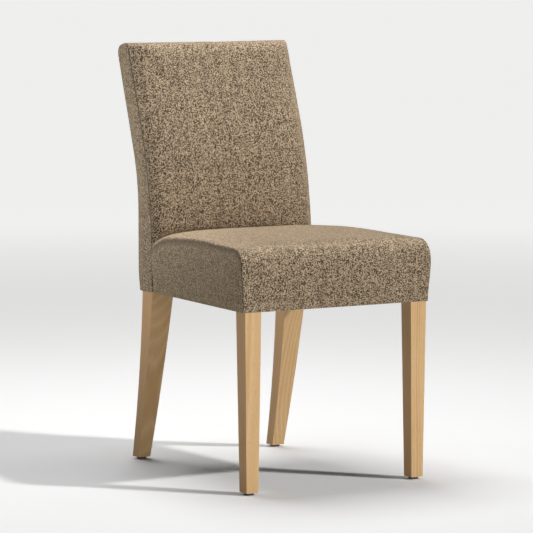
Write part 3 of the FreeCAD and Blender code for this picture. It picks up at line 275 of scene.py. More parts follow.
# Both sides have the same outline, so the last one also gives the rows of these two panels.
bottom_y = bottom_edge[:, 0]
bottom = np.stack([seat_shares[None, :] * seat_half(bottom_y)[:, None],
                   np.broadcast_to(bottom_y[:, None], (len(bottom_y), len(seat_shares))),
                   np.full((len(bottom_y), len(seat_shares)), HEM)], axis=2)
add_panel(seat_panels, "under", bottom, bottom[:, :, :2])
rear_z = HEM + climb[:, None] * (sections[-1, :, 1] - HEM)[None, :]
rear = np.stack([seat_shares[None, :] * seat_half(SEAT_REAR, rear_z),
                 np.full(rear_z.shape, SEAT_REAR), rear_z], axis=2)
add_panel(seat_panels, "hidden", rear, rear[:, :, ::2])
print("seat panels:", [(name, grid.shape[:2]) for name, grid, flat in seat_panels])

# %% [markdown]
# # The back
# The back is one long pad. Its inside is a single piece that rises from the seat, bends, goes
# over the top and ends in a seam a little way down behind. At both sides it rounds over to a
# narrow side strip, the gusset, and the outside back is a plain panel laid over the posts. A
# box with bevelled edges would round all of them alike. Here each section across the width is
# the same side view, and near the sides its front line moves back along an arc that stops at
# the seam, 62 degrees round, so that the border ends in an edge. Its top line rises by 3 mm
# there, because the corners of a well filled cover stand up.

# %% Back sizes
BACK_HALF = 203.2
BORDER, BORDER_DEPTH = 34.0, 19.0
SEAM_TURN = 62.0
CROWN, CORNER_RISE = 2.5, 3.0
RAKE = math.tan(math.radians(18.8))
LEAN = math.tan(math.radians(2.3))
FALL = math.tan(math.radians(14.0))
BEND, TOP_POINT, REAR_BEND = (135.6, 639.5), (235.0, 931.5), (210.5, 626.0)
BEND_RADIUS, REAR_BEND_RADIUS = 976, 435
BROW_RADIUS, CREST_RADIUS, FOOT_RADIUS, TUCK_RADIUS = 20, 18, 4, 60
SEAM_BEHIND = 889.0
OUTSIDE, OUTSIDE_HEM, OUTSIDE_TUCK = 210.8, 204.2, 42.0
OVER_POSTS = 0.3
# ROOT_Y is the front of the part that is hidden behind the seat.
ROOT_Y, SEAT_GAP = 147.3, 1.2
print("the back is", 2 * BACK_HALF, "mm wide and has borders of", BORDER, "mm")

# %% Back cross-sections
def line_crossing(first, first_way, second, second_way):
    matrix = np.array([[first_way[0], -second_way[0]], [first_way[1], -second_way[1]]])
    step = np.linalg.solve(matrix, np.subtract(second, first))
    return np.add(first, np.multiply(first_way, step[0]))


def moved(point, way, inset):
    """A line given by a point and a direction, moved to the left of its direction."""
    way = np.array(way, float) / np.linalg.norm(way)
    return np.array(point, float) + np.array([-way[1], way[0]]) * inset, way


def back_section(x, ring):
    """Side view of the back at x: low front, inside, top, drop behind and outside back.

    ring runs over the border, from 0 where it starts to 1 at the seam."""
    crown = CROWN * max(0.0, 1 - (x / (BACK_HALF - BORDER)) ** 2)
    front_in = DRAWN_IN - crown + (BORDER_DEPTH - DRAWN_IN) * ring
    lower = moved(BEND, (-LEAN, -1.0), front_in)
    upper = moved(BEND, (-RAKE - 0.018 * ring, -1.0), front_in)
    over = moved(TOP_POINT, (-1.0, FALL), DRAWN_IN - CORNER_RISE * ring)
    behind = moved(REAR_BEND, (RAKE, 1.0), -OVER_POSTS)
    bend = line_crossing(*lower, *upper)
    brow = line_crossing(*upper, *over)
    crest = line_crossing(*over, *behind)
    seam = behind[0] + behind[1] * (SEAM_BEHIND - behind[0][1]) / behind[1][1]
    bend_rear = line_crossing(*behind, (OUTSIDE, 500.0), (0.0, 1.0))
    root = (ROOT_Y, seat_top_near_back(x, ROOT_Y) + SEAT_GAP)
    foot_y = min(lower[0][0] + LEAN * (root[1] - lower[0][1]), ROOT_Y - 1.0)
    foot = (foot_y, seat_top_near_back(x, foot_y) + SEAT_GAP)
    corners = [(ROOT_Y, HEM), root, foot, bend, brow, crest, seam, bend_rear,
               (OUTSIDE, HEM + OUTSIDE_TUCK), (OUTSIDE_HEM, HEM)]
    radii = (0, 0, FOOT_RADIUS, BEND_RADIUS, BROW_RADIUS - 3 * ring, CREST_RADIUS, 0,
             REAR_BEND_RADIUS, TUCK_RADIUS, 0)
    low, root, foot, bend, brow, crest, seam, bend_rear, tuck, hem = rounded(corners, radii)
    half = len(brow) // 2
    return {"low": np.concatenate([low, root]),
            "inside": np.concatenate([root, foot, bend, brow[:half + 1]]),
            "top": np.concatenate([brow[half:], crest[:half + 1]]),
            "drop": np.concatenate([crest[half:], seam]),
            "outside": np.concatenate([seam, bend_rear, tuck, hem])}


middle_back = back_section(0.0, 0.0)
print("back, lengths in mm:", {k: round(length_of(v)) for k, v in middle_back.items()})

# %% Columns across the back
CLOTH_PER_DEGREE = 0.7
turns = np.array([0, 10, 20, 30, 40, 49, 56, 60, SEAM_TURN])
angles, last = np.radians(turns), math.radians(SEAM_TURN)
flat_x = np.linspace(0, BACK_HALF - BORDER, 24)[:-1]
border_x = BACK_HALF - BORDER + BORDER * np.sin(angles) / math.sin(last)
border_ring = (1 - np.cos(angles)) / (1 - math.cos(last))
border_run = BACK_HALF - BORDER + CLOTH_PER_DEGREE * turns


def both_sides(inner, border, sign=-1):
    """Values from side to side, given those from the middle to the right side."""
    half = np.concatenate([inner, border])
    return np.concatenate([sign * half[:0:-1], half])


back_x = both_sides(flat_x, border_x)
back_ring = both_sides(np.zeros(len(flat_x)), border_ring, sign=1)
back_run = both_sides(flat_x, border_run)
print("columns across the back:", len(back_x))

# %% Rows of the back
line_shares = {"low": np.linspace(0, 1, 10),
               "inside": shares_for(length_of(middle_back["inside"]), close=(0, 3, 6, 11)),
               "top": np.linspace(0, 1, 9),
               "drop": np.array([0, 0.3, 0.6, 0.8, 0.93, 1.0])}
# The rear edge of the side strip gets as many points as its front edge.
rear_rows = len(line_shares["low"]) + len(line_shares["inside"]) - len(line_shares["drop"])
rear_length = length_of(middle_back["outside"])
near_seam = np.array([0, 2, 5, 10]) / rear_length
near_hem = 1 - np.array([10, 5, 2, 0]) / rear_length
line_shares["outside"] = np.concatenate([
    near_seam[:-1], np.linspace(near_seam[-1], near_hem[0], rear_rows - 6), near_hem[1:]])
back_lines = {key: np.stack([spaced(back_section(x, ring)[key], shares)
                             for x, ring in zip(back_x, back_ring)], axis=1)
              for key, shares in line_shares.items()}
print("rows of the back:", {key: len(shares) for key, shares in line_shares.items()})

# %% Back panels
back_panels = []


def with_x(lines):
    x = np.broadcast_to(back_x[None, :, None], lines.shape[:2] + (1,))
    return np.concatenate([x, lines], axis=2)


def flat_back(lines):
    """Flat position: across by the run of the border, up by the run of the middle column."""
    run = run_along(lines[:, lines.shape[1] // 2])
    return np.stack(np.broadcast_arrays(back_run[None, :], run[:, None]), axis=2)


wrap = np.concatenate([back_lines["inside"], back_lines["top"][1:], back_lines["drop"][1:]])
add_panel(back_panels, "front", with_x(wrap), flat_back(wrap))
outside = back_lines["outside"]
add_panel(back_panels, "rear", with_x(outside), flat_back(outside))
add_panel(back_panels, "hidden", with_x(back_lines["low"]), with_x(back_lines["low"])[:, :, ::2])
for side, column in ((-1, 0), (1, -1)):
    front_edge = np.concatenate([back_lines["low"][:, column],
                                 back_lines["inside"][1:, column]])
    rear_edge = np.concatenate([back_lines["outside"][::-1, column],
                                back_lines["drop"][-2::-1, column]])
    top_edge = back_lines["top"][:, column]
    bottom_edge = front_edge[0] + (np.linspace(0, 1, len(top_edge))[:, None]
                                   * (rear_edge[0] - front_edge[0]))
    patch = coons(bottom_edge, top_edge, front_edge, rear_edge)
    x = side * (BACK_HALF + swollen(patch, 1.5, 9.0))
    add_panel(back_panels, "gusset", np.concatenate([x[:, :, None], patch], axis=2), patch)
under_rows = np.linspace(0, 1, len(line_shares["top"]))[:, None, None]
under = with_x(back_lines["low"][:1] * (1 - under_rows) + outside[-1:] * under_rows)
add_panel(back_panels, "under", under, under[:, :, :2])
print("back panels:", [(name, grid.shape[:2]) for name, grid, flat in back_panels])

# %% [markdown]
# # Sewing the panels together
# The panels are joined into one closed cover, as a machinist would sew them. Points that lie on
# top of each other become one, and each point that belongs to two panels is a seam. One mesh
# without loose edges is also what the pressure of the next step needs. The face direction is
# then made to point outwards everywhere.

# %% Sew
def add_object(name, data):
    """New object in the scene that holds a mesh, a light or a camera."""
    piece = bpy.data.objects.new(name, data)
    bpy.context.scene.collection.objects.link(piece)
    return piece


def sew(name, panels):
    """Closed mesh from panels. Returns the object and each point's set of panel numbers."""
    points, faces, uvs, owners = [], [], [], []
    for owner, (kind, grid, flat) in enumerate(panels):
        rows, columns = grid.shape[:2]
        start = len(points)
        points.extend(grid.reshape(-1, 3))
        flat = flat.reshape(-1, 2)
        for row in range(rows - 1):
            for column in range(columns - 1):
                here = row * columns + column
                ring = (here, here + 1, here + columns + 1, here + columns)
                faces.append([start + corner for corner in ring])
                uvs.append([flat[corner] * MM for corner in ring])
                owners.append(owner)
    mesh = bpy.data.meshes.new(name)
    mesh.from_pydata([Vector(point) * MM for point in points], [], faces)
    layer = mesh.uv_layers.new(name="cloth")
    layer.data.foreach_set("uv", np.array(uvs, float).reshape(-1))
    mesh.attributes.new("panel", "INT", "FACE").data.foreach_set("value", owners)
    build = bmesh.new()
    build.from_mesh(mesh)
    bmesh.ops.remove_doubles(build, verts=build.verts, dist=0.05 * MM)
    bmesh.ops.dissolve_degenerate(build, edges=build.edges, dist=0.01 * MM)
    bmesh.ops.recalc_face_normals(build, faces=build.faces)
    open_edges = sum(1 for edge in build.edges if not edge.is_manifold)
    if build.calc_volume(signed=True) < 0:
        bmesh.ops.reverse_faces(build, faces=build.faces)
    kinds = build.faces.layers.int["panel"]
    touching = [{face[kinds] for face in vert.link_faces} for vert in build.verts]
    volume = build.calc_volume()
    build.to_mesh(mesh)
    build.free()
    print(name, "points", len(mesh.vertices), "open edges", open_edges,
          "litres", round(volume * 1000, 2))
    return add_object(name, mesh), touching


seat_cover, seat_touching = sew("seat_upholstery", seat_panels)
back_cover, back_touching = sew("back_upholstery", back_panels)

# %% [markdown]
# # Blowing the covers up
# Foam is cut a little too large and squeezed into its cover, so the cloth swells between the
# seams and is held back at them. Cloth simulation does the same: the seams and the hidden faces
# are pinned, gravity is off, and pressure pushes from inside for twenty frames. How far a point
# may go is capped, because this cover is tight, and it fades out beside the crevice between
# seat and back, where both pads press on each other.

# %% Inflate
PRESSURE, FRAMES = 4.0, 20


def inflate(piece, touching, panels, cap, calm):
    """Pressure simulation with seams pinned. calm maps points in mm to a share of movement."""
    kinds = [kind for kind, grid, flat in panels]
    hidden = {index for index, kind in enumerate(kinds) if kind in ("under", "hidden")}
    pins = [index for index, owners in enumerate(touching) if len(owners) > 1 or owners & hidden]
    mesh = piece.data
    rest = np.empty(len(mesh.vertices) * 3)
    mesh.vertices.foreach_get("co", rest)
    rest = rest.reshape(-1, 3)
    group = piece.vertex_groups.new(name="seams")
    group.add(pins, 1.0, "REPLACE")
    cloth = piece.modifiers.new("foam pressure", "CLOTH")
    cloth.settings.quality = 6
    cloth.settings.mass = 0.25
    cloth.settings.tension_stiffness = 25
    cloth.settings.compression_stiffness = 25
    cloth.settings.shear_stiffness = 12
    cloth.settings.bending_stiffness = 3
    cloth.settings.air_damping = 3
    cloth.settings.vertex_group_mass = "seams"
    cloth.settings.use_pressure = True
    cloth.settings.uniform_pressure_force = PRESSURE
    cloth.settings.effector_weights.gravity = 0
    cloth.collision_settings.use_collision = False
    cloth.point_cache.frame_start, cloth.point_cache.frame_end = 1, FRAMES
    for step in range(1, FRAMES + 1):
        bpy.context.scene.frame_set(step)
    depsgraph = bpy.context.evaluated_depsgraph_get()
    shown = piece.evaluated_get(depsgraph)
    result = np.empty(len(rest) * 3)
    shown.data.vertices.foreach_get("co", result)
    push = result.reshape(-1, 3) - rest
    piece.modifiers.remove(cloth)
    piece.vertex_groups.remove(group)
    far = np.linalg.norm(push, axis=1, keepdims=True) + 1e-9
    print(piece.name, "swelled by up to", round(float(far.max()) / MM, 1), "mm before the cap")
    push = push / far * np.tanh(far / (cap * MM)) * cap * MM * calm(rest / MM)[:, None]
    mesh.vertices.foreach_set("co", (rest + push).reshape(-1))
    mesh.update()
    bpy.context.scene.frame_set(1)


def calm_seat(points):
    """Full swelling up to 60 mm before y 118, and none behind it, close to the back."""
    return np.clip((118.0 - points[:, 1]) / 60.0, 0, 1)


def calm_back(points):
    """None below z 520, where the seat presses on the back, except on the outside back."""
    above_seat = np.clip((points[:, 2] - 520.0) / 60.0, 0, 1)
    return np.clip(above_seat + 1.0 * (points[:, 1] > 175.0), 0, 1)


inflate(seat_cover, seat_touching, seat_panels, 3.0, calm_seat)
inflate(back_cover, back_touching, back_panels, 2.5, calm_back)

# %% [markdown]
# # Seams
# A seam pulls the cloth down into the foam. A bevel or a texture could only draw a line there.
# Here the points on a visible seam move inwards by about a millimetre after the simulation,
# their neighbours stay, and one level of subdivision turns that into a narrow groove with
# rounded lips. The seam points are marked, so that the cloth's finish can darken them. A very
# weak wave over the whole cover takes away an evenness that no hand-made cover has.

# %% Press the seams in
PUCKER, WAVE = 0.5, 0.45


def press_seams(piece, touching, panels, depth):
    """Seam points go in by depth in mm, a little unevenly. All other visible points wave."""
    kinds = [kind for kind, grid, flat in panels]
    mesh = piece.data
    normals = np.empty(len(mesh.vertices) * 3)
    mesh.vertices.foreach_get("normal", normals)
    normals = normals.reshape(-1, 3)
    points = np.empty(len(mesh.vertices) * 3)
    mesh.vertices.foreach_get("co", points)
    points = points.reshape(-1, 3)
    marks = np.zeros(len(touching))
    for index, owners in enumerate(touching):
        visible = [owner for owner in owners if kinds[owner] not in ("under", "hidden")]
        if len(visible) > 1:
            pucker = 1 + PUCKER * noise.noise(Vector(points[index]) * 60.0)
            points[index] -= normals[index] * depth * pucker * MM
            marks[index] = 1.0
        elif len(owners) == 1 and visible:
            spot = Vector(points[index])
            wave = noise.noise(spot * 14.0) + 0.5 * noise.noise(spot * 31.0 + Vector((5, 3, 9)))
            points[index] += normals[index] * wave * WAVE * MM
    mesh.vertices.foreach_set("co", points.reshape(-1))
    mesh.attributes.new("seam", "FLOAT", "POINT").data.foreach_set("value", marks)
    smooth = piece.modifiers.new("soft", "SUBSURF")
    smooth.levels = smooth.render_levels = 1
    smooth.uv_smooth = "PRESERVE_BOUNDARIES"
    shown = piece.evaluated_get(bpy.context.evaluated_depsgraph_get())
    finer = bpy.data.meshes.new_from_object(shown)
    piece.modifiers.remove(smooth)
    piece.data = finer
    finer.shade_smooth()
    print(piece.name, "seam points", int(marks.sum()), "faces", len(finer.polygons))


press_seams(seat_cover, seat_touching, seat_panels, 1.3)
press_seams(back_cover, back_touching, back_panels, 1.2)

# %% [markdown]
# # Short calls for nodes
# A finish is a chain of nodes. Written out in full, each node takes several lines, and the idea
# gets lost. This class has one short call for each kind of node that the finishes below use. A
# call takes numbers or the outputs of other calls, and gives back an output.

# %% Node helpers
class Nodes:
    """Short calls for building a node tree."""

    def __init__(self, tree):
        self.tree = tree
        self.column = 0

    def add(self, kind, **settings):
        node = self.tree.nodes.new(kind)
        node.location = (self.column * 40, -(self.column % 9) * 140)
        self.column += 1
        for name, setting in settings.items():
            setattr(node, name, setting)
        return node

    def feed(self, socket, source):
        if isinstance(source, bpy.types.NodeSocket):
            self.tree.links.new(source, socket)
        else:
            socket.default_value = source

    def math(self, operation, *sources):
        node = self.add("ShaderNodeMath", operation=operation)
        for socket, source in zip(node.inputs, sources):
            self.feed(socket, source)
        return node.outputs[0]

    def vector(self, operation, *sources):
        node = self.add("ShaderNodeVectorMath", operation=operation)
        for socket, source in zip(node.inputs, sources):
            self.feed(socket, source)
        return node.outputs[0]

    def length(self, source):
        node = self.add("ShaderNodeVectorMath", operation="LENGTH")
        self.feed(node.inputs[0], source)
        return node.outputs["Value"]

    def split(self, source):
        node = self.add("ShaderNodeSeparateXYZ")
        self.feed(node.inputs[0], source)
        return node.outputs

    def join(self, x, y, z=0.0):
        node = self.add("ShaderNodeCombineXYZ")
        for socket, source in zip(node.inputs, (x, y, z)):
            self.feed(socket, source)
        return node.outputs[0]

    def noise(self, vector, scale, detail=2.0, roughness=0.5):
        node = self.add("ShaderNodeTexNoise")
        self.feed(node.inputs["Vector"], vector)
        self.feed(node.inputs["Scale"], scale)
        node.inputs["Detail"].default_value = detail
        node.inputs["Roughness"].default_value = roughness
        return node.outputs["Fac"]

    def chance(self, source):
        node = self.add("ShaderNodeTexWhiteNoise", noise_dimensions="1D")
        self.feed(node.inputs["W"], source)
        return node.outputs["Value"]

    def object_position(self):
        return self.add("ShaderNodeTexCoord").outputs["Object"]

    def mix(self, share, first, second):
        node = self.add("ShaderNodeMix", data_type="RGBA")
        self.feed(node.inputs["Factor"], share)
        self.feed(node.inputs[6], first)
        self.feed(node.inputs[7], second)
        return node.outputs[2]

    def blend(self, share, first, second):
        node = self.add("ShaderNodeMix", data_type="FLOAT")
        self.feed(node.inputs["Factor"], share)
        self.feed(node.inputs[2], first)
        self.feed(node.inputs[3], second)
        return node.outputs[0]

    def range(self, source, low, high, new_low=0.0, new_high=1.0):
        node = self.add("ShaderNodeMapRange")
        self.feed(node.inputs["Value"], source)
        node.inputs["From Min"].default_value = low
        node.inputs["From Max"].default_value = high
        node.inputs["To Min"].default_value = new_low
        node.inputs["To Max"].default_value = new_high
        return node.outputs["Result"]


def new_group(name, inputs, outputs):
    tree = bpy.data.node_groups.new(name, "ShaderNodeTree")
    for title, kind, number in inputs:
        socket = tree.interface.new_socket(name=title, in_out="INPUT", socket_type=kind)
        if number is not None:
            socket.default_value = number
    for title, kind in outputs:
        tree.interface.new_socket(name=title, in_out="OUTPUT", socket_type=kind)
    nodes = Nodes(tree)
    return tree, nodes, nodes.add("NodeGroupInput"), nodes.add("NodeGroupOutput")


FLOAT, VECTOR, COLOUR = "NodeSocketFloat", "NodeSocketVector", "NodeSocketColor"
print("node calls:", [name for name in vars(Nodes) if not name.startswith("_")])

# %% [markdown]
# # A woven cloth
# The cover is a plain weave of thick and thin yarns that were spun from pale and dark fibres.
# One node group makes it. The flat position is counted in threads, and the whole part of that
# number tells the threads apart. Sine waves make a thread's round back and its way over and
# under its neighbours. Noise that is long along the thread and jumps from thread to thread gives
# the flecks, and pure chance at each crossing adds the specks. An image of cloth would repeat
# and blur up close. The group only hands out a colour and a height.

# %% Plain weave group, the threads
OVER, UNDER = 0.4, -0.5
THREAD_DRIFT = 0.0028


def thread_back(nodes, count):
    """1 along the middle of each thread, 0 between two threads."""
    return nodes.math("ABSOLUTE", nodes.math("SINE", nodes.math("MULTIPLY", count, math.pi)))


def yarn_noise(nodes, x, y, z, detail, roughness):
    return nodes.noise(nodes.join(x, y, z), 1.0, detail, roughness)


def thread_height(nodes, odd, back, thick, crossing, when_even, when_odd):
    """Round back of a thread, lifted over or pressed under the threads that it crosses."""
    path = nodes.blend(odd, nodes.math("MULTIPLY_ADD", crossing, when_even, 0.6),
                       nodes.math("MULTIPLY_ADD", crossing, when_odd, 0.6))
    return nodes.math("MULTIPLY", nodes.math("MULTIPLY", back, thick), path)


weave, nodes, given, out = new_group("plain_weave", (
    ("Flat Position", VECTOR, None), ("Thread Pitch", FLOAT, 0.002),
    ("Dark Yarn", COLOUR, (0.1, 0.08, 0.05, 1)), ("Middle Yarn", COLOUR, (0.3, 0.24, 0.15, 1)),
    ("Pale Yarn", COLOUR, (0.6, 0.52, 0.38, 1)), ("Fleck", FLOAT, 1.0)),
    (("Colour", COLOUR), ("Height", FLOAT)))
wobble = nodes.noise(given.outputs["Flat Position"], 45.0, 1.0)
drift = nodes.math("MULTIPLY", nodes.math("SUBTRACT", wobble, 0.5), THREAD_DRIFT)
drifted = nodes.vector("ADD", given.outputs["Flat Position"], nodes.join(drift, drift))
crosswise, lengthwise = nodes.split(drifted)[:2]
warp = nodes.math("DIVIDE", crosswise, given.outputs["Thread Pitch"])
weft = nodes.math("DIVIDE", lengthwise, given.outputs["Thread Pitch"])
warp_number, weft_number = nodes.math("FLOOR", warp), nodes.math("FLOOR", weft)
odd = nodes.math("FLOORED_MODULO", nodes.math("ADD", warp_number, weft_number), 2.0)
warp_uneven = yarn_noise(nodes, nodes.math("MULTIPLY", warp_number, 7.7),
                         nodes.math("MULTIPLY", weft, 0.11), 0.0, 1.0, 0.5)
weft_uneven = yarn_noise(nodes, nodes.math("MULTIPLY", warp, 0.11),
                         nodes.math("MULTIPLY", weft_number, 7.7), 0.0, 1.0, 0.5)
warp_thick, weft_thick = [nodes.range(uneven, 0.3, 0.7, 0.7, 1.15)
                          for uneven in (warp_uneven, weft_uneven)]
warp_back, weft_back = thread_back(nodes, warp), thread_back(nodes, weft)
warp_height = thread_height(nodes, odd, warp_back, warp_thick, weft_back, OVER, UNDER)
weft_height = thread_height(nodes, odd, weft_back, weft_thick, warp_back, UNDER, OVER)
height = nodes.math("MAXIMUM", warp_height, weft_height)
nodes.feed(out.inputs["Height"], height)
print("weave, threads and their heights:", len(weave.nodes), "nodes")

# %% Plain weave group, the yarn's colours
SPECK_SHARE = 0.4
# Painted shade: where the threads dip between each other, the colour is pulled towards this near
# black.
GAP_SHADE = (0.02, 0.015, 0.01, 1)
warp_tone = yarn_noise(nodes, nodes.math("MULTIPLY", warp_number, 13.7),
                       nodes.math("MULTIPLY", weft, 0.45), 0.0, 2.0, 0.8)
weft_tone = yarn_noise(nodes, nodes.math("MULTIPLY", warp, 0.8),
                       nodes.math("MULTIPLY", weft_number, 13.7), 8.0, 2.0, 0.8)
warp_chance = nodes.chance(warp_number)
weft_chance = nodes.chance(nodes.math("ADD", weft_number, 500.0))
warp_tone = nodes.math("ADD", warp_tone, nodes.range(warp_chance, 0, 1, -0.12, 0.12))
weft_tone = nodes.math("ADD", weft_tone, nodes.range(weft_chance, 0, 1, -0.06, 0.06))
warp_on_top = nodes.math("GREATER_THAN", warp_height, weft_height)
speck = nodes.add("ShaderNodeTexWhiteNoise", noise_dimensions="2D")
nodes.feed(speck.inputs["Vector"], nodes.join(warp_number, weft_number))
tone = nodes.blend(SPECK_SHARE, nodes.blend(warp_on_top, weft_tone, warp_tone),
                   speck.outputs["Value"])
tone = nodes.math("MULTIPLY_ADD", nodes.math("SUBTRACT", tone, 0.5), given.outputs["Fleck"], 0.5)
dark_part = nodes.mix(nodes.range(tone, 0.34, 0.5), given.outputs["Dark Yarn"],
                      given.outputs["Middle Yarn"])
thread_colour = nodes.mix(nodes.range(tone, 0.52, 0.66), dark_part, given.outputs["Pale Yarn"])
# Painted shade: the lower a point of the weave lies, the darker its colour is painted.
depth_shade = nodes.range(height, 0.15, 0.75, 0.55, 1.0)
nodes.feed(out.inputs["Colour"], nodes.mix(depth_shade, GAP_SHADE, thread_colour))
print("plain weave group has", len(weave.nodes), "nodes")

# %% [markdown]
# # Oak
# The legs are light oak with a satin lacquer. Oak is ring-porous: each year's ring starts with
# open pores, which show as fine dark dashes along the grain, and between them the wood is
# smooth and pale. The ready-made wood texture has even bands, so the group builds its own. It
# measures the distance from a pith that lies well outside the leg, wobbles it with noise, and
# reads the rings from it. Fibre noise is stretched about twenty times along the grain, and the
# pores are the peaks of a second stretched noise, kept to the early part of each ring.

# %% Oak group, the rings
PITH_AWAY = (0.33, 0.9, 0.0)
RING_WOBBLE = 0.03
oak, nodes, given, out = new_group("oak_grain", (
    ("Position", VECTOR, None), ("Pale Wood", COLOUR, (0.72, 0.48, 0.25, 1)),
    ("Dark Wood", COLOUR, (0.5, 0.3, 0.13, 1)), ("Pore", COLOUR, (0.25, 0.14, 0.06, 1)),
    ("Ring Width", FLOAT, 0.004), ("Figure", FLOAT, 0.5)),
    (("Colour", COLOUR), ("Height", FLOAT), ("Roughness", FLOAT)))


def stretched_noise(nodes, position, stretch, scale, detail, roughness=0.5):
    """Noise that is drawn out along the grain, which runs along z."""
    place = nodes.vector("MULTIPLY", position, (1.0, 1.0, stretch))
    return nodes.noise(place, scale, detail, roughness)


position = given.outputs["Position"]
low_wave = stretched_noise(nodes, position, 0.16, 11.0, 1.0)
off_pith = nodes.vector("ADD", position, PITH_AWAY)
from_pith = nodes.length(nodes.vector("MULTIPLY", off_pith, (1.0, 1.0, 0.0)))
wobbled = nodes.math("MULTIPLY", nodes.math("SUBTRACT", low_wave, 0.5), RING_WOBBLE)
ring_place = nodes.math("DIVIDE", nodes.math("ADD", from_pith, wobbled),
                        given.outputs["Ring Width"])
ring = nodes.math("FRACT", ring_place)
ring_strength = nodes.range(nodes.chance(nodes.math("FLOOR", ring_place)), 0, 1, 0.4, 1.0)
ring_tone = nodes.math("MULTIPLY", nodes.math("SINE", nodes.math("MULTIPLY", ring, math.pi)),
                       ring_strength)
print("oak, rings:", len(oak.nodes), "nodes")

# %% Oak group, fibres and pores
fibre = stretched_noise(nodes, position, 0.045, 900.0, 3.0, 0.6)
board = stretched_noise(nodes, position, 0.25, 14.0, 2.0)
pore_noise = stretched_noise(nodes, position, 0.07, 1500.0, 1.0)
early_wood = nodes.range(ring, 0.0, 0.45, 1.0, 0.15)
pore = nodes.math("MULTIPLY", nodes.range(pore_noise, 0.6, 0.7), early_wood)
even_tone = nodes.math("ADD", nodes.math("MULTIPLY", fibre, 0.55),
                       nodes.math("MULTIPLY", board, 0.45))
tone = nodes.math("ADD", nodes.math("MULTIPLY", ring_tone, given.outputs["Figure"]), even_tone)
wood_colour = nodes.mix(nodes.range(tone, 0.4, 1.15), given.outputs["Pale Wood"],
                        given.outputs["Dark Wood"])
nodes.feed(out.inputs["Colour"], nodes.mix(nodes.math("MULTIPLY", pore, 0.55), wood_colour,
                                           given.outputs["Pore"]))
nodes.feed(out.inputs["Height"], nodes.math("SUBTRACT", nodes.math("MULTIPLY", fibre, 0.3), pore))
nodes.feed(out.inputs["Roughness"], nodes.range(fibre, 0.3, 0.7, 0.36, 0.5))
print("oak group has", len(oak.nodes), "nodes")

# %% [markdown]
# # Materials
# Each material keeps its own Principled shader and places a group in front of it. What is even
# over the whole surface, such as the sheen of the cloth, is a plain number on the shader. The
# bump's distance is the real depth of the threads or pores in metres.

# %% Material builder
def shader_of(material):
    return material.node_tree.nodes["Principled BSDF"]


def new_material(name, look, depth=0.0003, roughness=0.8):
    """look is called with the Nodes and gives a colour, and may give height and roughness."""
    material = bpy.data.materials.new(name)
    material.use_nodes = True
    nodes = Nodes(material.node_tree)
    shader = shader_of(material)
    made = look(nodes)
    nodes.feed(shader.inputs["Base Color"], made["colour"])
    nodes.feed(shader.inputs["Roughness"], made.get("roughness", roughness))
    if "height" in made:
        bump = nodes.add("ShaderNodeBump")
        bump.inputs["Distance"].default_value = depth
        bump.inputs["Strength"].default_value = made.get("strength", 0.8)
        nodes.feed(bump.inputs["Height"], made["height"])
        nodes.feed(shader.inputs["Normal"], bump.outputs["Normal"])
    print(name, "has", len(material.node_tree.nodes), "nodes")
    return material


def place_group(nodes, tree, **values):
    node = nodes.add("ShaderNodeGroup", node_tree=tree)
    for title, source in values.items():
        nodes.feed(node.inputs[title.replace("_", " ")], source)
    return node


# %% [markdown]
# # Cover cloth
# The cover is a soft upholstery cloth of brown, sand and cream yarn, with about five and a half
# threads to the centimetre. It has no gloss, but its loose fibres catch light that grazes it,
# which the sheen of the shader gives. A large weak cloud keeps big faces from looking printed,
# and the marked seam points are darkened, because little light gets into a seam.

# %% Cover cloth
def cover_look(nodes):
    flat_place = nodes.add("ShaderNodeUVMap", uv_map="cloth").outputs[0]
    cloth = place_group(nodes, weave, Flat_Position=flat_place, Thread_Pitch=0.0018,
                        Dark_Yarn=(0.065, 0.043, 0.026, 1), Middle_Yarn=(0.33, 0.238, 0.15, 1),
                        Pale_Yarn=(0.80, 0.625, 0.43, 1), Fleck=1.9)
    cloud = nodes.noise(flat_place, 16.0, 2.0)
    tint = nodes.mix(nodes.range(cloud, 0.35, 0.65, 0.0, 0.1), cloth.outputs["Colour"],
                     (0.40, 0.29, 0.18, 1))
    seam = nodes.add("ShaderNodeAttribute", attribute_name="seam")
    sunk = nodes.range(seam.outputs["Fac"], 0.25, 0.9, 0.0, 0.8)
    return {"colour": nodes.mix(sunk, tint, (0.03, 0.02, 0.012, 1)),
            "height": cloth.outputs["Height"]}


cover_cloth = new_material("cover_fabric_weave", cover_look, depth=0.0009, roughness=0.9)
shader = shader_of(cover_cloth)
shader.inputs["Sheen Weight"].default_value = 0.9
shader.inputs["Sheen Roughness"].default_value = 0.4
shader.inputs["Sheen Tint"].default_value = (1.0, 0.78, 0.54, 1)
shader.inputs["Specular IOR Level"].default_value = 0.2
for cover in (seat_cover, back_cover):
    cover.data.materials.clear()
    cover.data.materials.append(cover_cloth)
